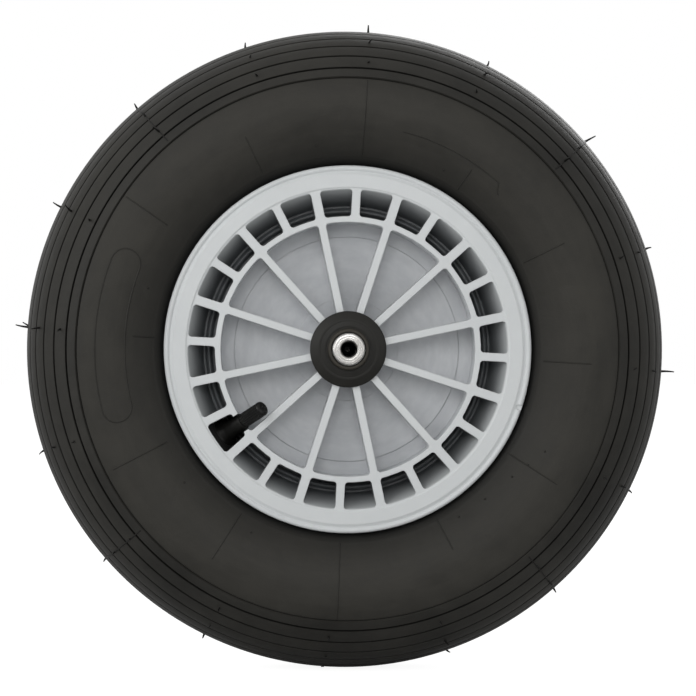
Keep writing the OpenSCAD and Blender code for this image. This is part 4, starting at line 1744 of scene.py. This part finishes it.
@dataclass
class CadPieces:
    """The CAD nodes that stay, with the finish of each."""

    finishes: Finishes

    LOOKS: ClassVar[dict[Look, tuple[str, ...]]] = {
        Look.RIM: ("rim",),
        Look.STEEL: (
            "race_sleeve", "rollers_front", "rollers_back",
            "thrust_washer_front", "thrust_washer_back",
        ),
        Look.CAGE: ("bearing_cage_front", "bearing_cage_back"),
        Look.SPRING: ("retaining_ring_front", "retaining_ring_back"),
        Look.BRASS: ("valve_stem", "valve_core", "valve_pin"),
        Look.RUBBER: ("core_gasket", "pin_seal", "cap_washer"),
    }

    def dress(self) -> list[Piece]:
        """Give each node its material, and return the nodes."""
        dressed = []
        for look, names in self.LOOKS.items():
            for name in names:
                node = frame["nodes"][name]
                node.data.materials.clear()
                node.data.materials.append(self.finishes.of(look))
                dressed.append(node)
        return dressed


@dataclass(frozen=True)
class Lamp:
    """A soft square lamp that faces the wheel.

    Attributes:
        name: Name of the lamp.
        at: Its place.
        size: Its width.
        power: Its power.
    """

    name: str
    at: tuple[float, float, float]
    size: float
    power: float

    def hang(self) -> None:
        """Put the lamp in the scene."""
        data = bpy.data.lights.new(self.name, "AREA")
        data.size = self.size
        data.energy = self.power
        Studio.aim(bpy.data.objects.new(self.name, data), self.at, (0.0, 0.0, 0.0))


@dataclass
class Studio:
    """The white studio: floor, world, lamps and camera.

    Attributes:
        floor_z: Height of the floor.
        floor_size: Half the size of the floor.
        floor_lit: Grey of the floor that throws light on the wheel.
        floor_seen: Grey of the floor that the camera sees, which keeps the shadow.
        floor_glow: Light that the camera sees on top of that grey.
        world_light: Strength of the light from all sides.
        camera_at: Place of the camera.
        aim_at: What the camera looks at.
        lens: Focal length on a 36 mm sensor.
    """

    floor_z: float = -0.2003
    floor_size: float = 12.0
    floor_lit: float = 0.8
    floor_seen: float = 0.3
    floor_glow: float = 0.92
    world_light: float = 0.44
    camera_at: tuple[float, float, float] = (-0.0566, -1.4989, 0.0)
    aim_at: tuple[float, float, float] = (0.00139, 0.0, 0.00082)
    lens: float = 123.0

    # A wide lamp over the camera, a large one at the upper left, one on the right, one
    # behind the wheel, and a small one that gives the glossy pieces a highlight
    LAMPS: ClassVar[tuple[Lamp, ...]] = (
        Lamp("front_lamp", (-0.25, -2.3, 0.75), 1.0, 11.0),
        Lamp("key_lamp", (-1.7, -1.4, 0.85), 1.5, 18.0),
        Lamp("fill_lamp", (1.5, -1.6, 0.35), 1.3, 4.0),
        Lamp("back_lamp", (0.9, 2.2, 1.3), 1.6, 26.0),
        Lamp("spark_lamp", (-2.2, -0.75, 0.05), 0.12, 3.0),
    )

    @staticmethod
    def aim(thing: Piece, at: Sequence[float], target: Sequence[float]) -> None:
        """Put a lamp or a camera in the scene, turned towards its target."""
        thing.location = at
        thing.rotation_mode = "QUATERNION"
        thing.rotation_quaternion = (Vector(target) - Vector(at)).to_track_quat("-Z", "Y")
        bpy.context.scene.collection.objects.link(thing)

    @staticmethod
    def seen_directly(graph: Graph) -> Socket:
        """Return 1 for camera, glossy and transmission rays."""
        path = graph.node("ShaderNodeLightPath").outputs
        seen = graph.math("MAXIMUM", path["Is Camera Ray"], path["Is Glossy Ray"])
        return graph.math("MAXIMUM", seen, path["Is Transmission Ray"])

    def world(self) -> None:
        """White all round for the eye, and a softer light on the object."""
        world = bpy.data.worlds.new("white_studio")
        world.use_nodes = True
        graph = Graph(world.node_tree)
        strength = graph.span(self.seen_directly(graph), 0.0, 1.0, self.world_light, 1.0)
        back = world.node_tree.nodes["Background"]
        graph.feed(back, {"Color": (1.0, 1.0, 1.0, 1.0), "Strength": strength})
        bpy.context.scene.world = world

    def floor_material(self) -> Material:
        """Return the pale floor's material, which keeps a soft shadow for the camera."""
        material = bpy.data.materials.new("white_floor")
        material.use_nodes = True
        nodes = material.node_tree.nodes
        nodes.remove(nodes["Principled BSDF"])
        graph = Graph(material.node_tree)
        lit, grey = [
            graph.node("ShaderNodeBsdfDiffuse", {"Color": (tone, tone, tone, 1.0)}).outputs[0]
            for tone in (self.floor_lit, self.floor_seen)
        ]
        glow = {"Color": (1, 1, 1, 1), "Strength": self.floor_glow}
        glow = graph.node("ShaderNodeEmission", glow).outputs[0]
        both = graph.node("ShaderNodeAddShader", {0: grey, 1: glow}).outputs[0]
        seen = graph.node("ShaderNodeLightPath").outputs["Is Camera Ray"]
        mixed = graph.node("ShaderNodeMixShader", {0: seen, 1: lit, 2: both}).outputs[0]
        graph.feed(nodes["Material Output"], {"Surface": mixed})
        return material

    def floor(self) -> None:
        """Build the pale floor."""
        size = self.floor_size
        corners = [(-size, -size), (size, -size), (size, size), (-size, size)]
        mesh = bpy.data.meshes.new("floor")
        mesh.from_pydata([(x, y, self.floor_z) for x, y in corners], [], [(0, 1, 2, 3)])
        mesh.materials.append(self.floor_material())
        floor = bpy.data.objects.new("floor", mesh)
        bpy.context.scene.collection.objects.link(floor)

    def camera(self) -> None:
        """Put the camera at the photograph's viewing angle."""
        data = bpy.data.cameras.new("camera")
        data.sensor_width = 36.0
        data.lens = self.lens
        data.clip_start, data.clip_end = 0.01, 100.0
        camera = bpy.data.objects.new("camera", data)
        self.aim(camera, self.camera_at, self.aim_at)
        bpy.context.scene.camera = camera

    def build(self) -> None:
        """Set up the whole studio."""
        bpy.context.scene.view_settings.view_transform = "Standard"
        self.world()
        self.floor()
        for lamp in self.LAMPS:
            lamp.hang()
        self.camera()


def main() -> None:
    """Build the wheel's looks in order."""
    logging.basicConfig(level=logging.INFO, format="%(name)s: %(message)s")
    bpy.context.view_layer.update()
    _, tyre_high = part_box("tyre")
    finishes = Finishes()
    form = TyreForm(outer_r=round(tyre_high.x / MM, 1), half_w=round(tyre_high.y / MM, 1))
    pull = next(j for j in frame["joints"] if j["name"] == "valve_cap_off")
    valve = Valve(seat=around(*VALVE_SEAT), axis=Vector(pull["axis"]).normalized())
    pieces = Tyre(form, PhotoScale()).build(finishes)
    pieces.append(HubCap().build("hub_cap_front", False, finishes))
    pieces.append(HubCap().build("hub_cap_back", True, finishes))
    pieces.append(Axle().build(finishes))
    pieces += valve.build(finishes)
    pieces += CadPieces(finishes).dress()
    Studio().build()
    for piece in pieces:
        LOG.info("%s: %d faces", piece.name, len(piece.data.polygons))


if __name__ == "__main__":
    main()
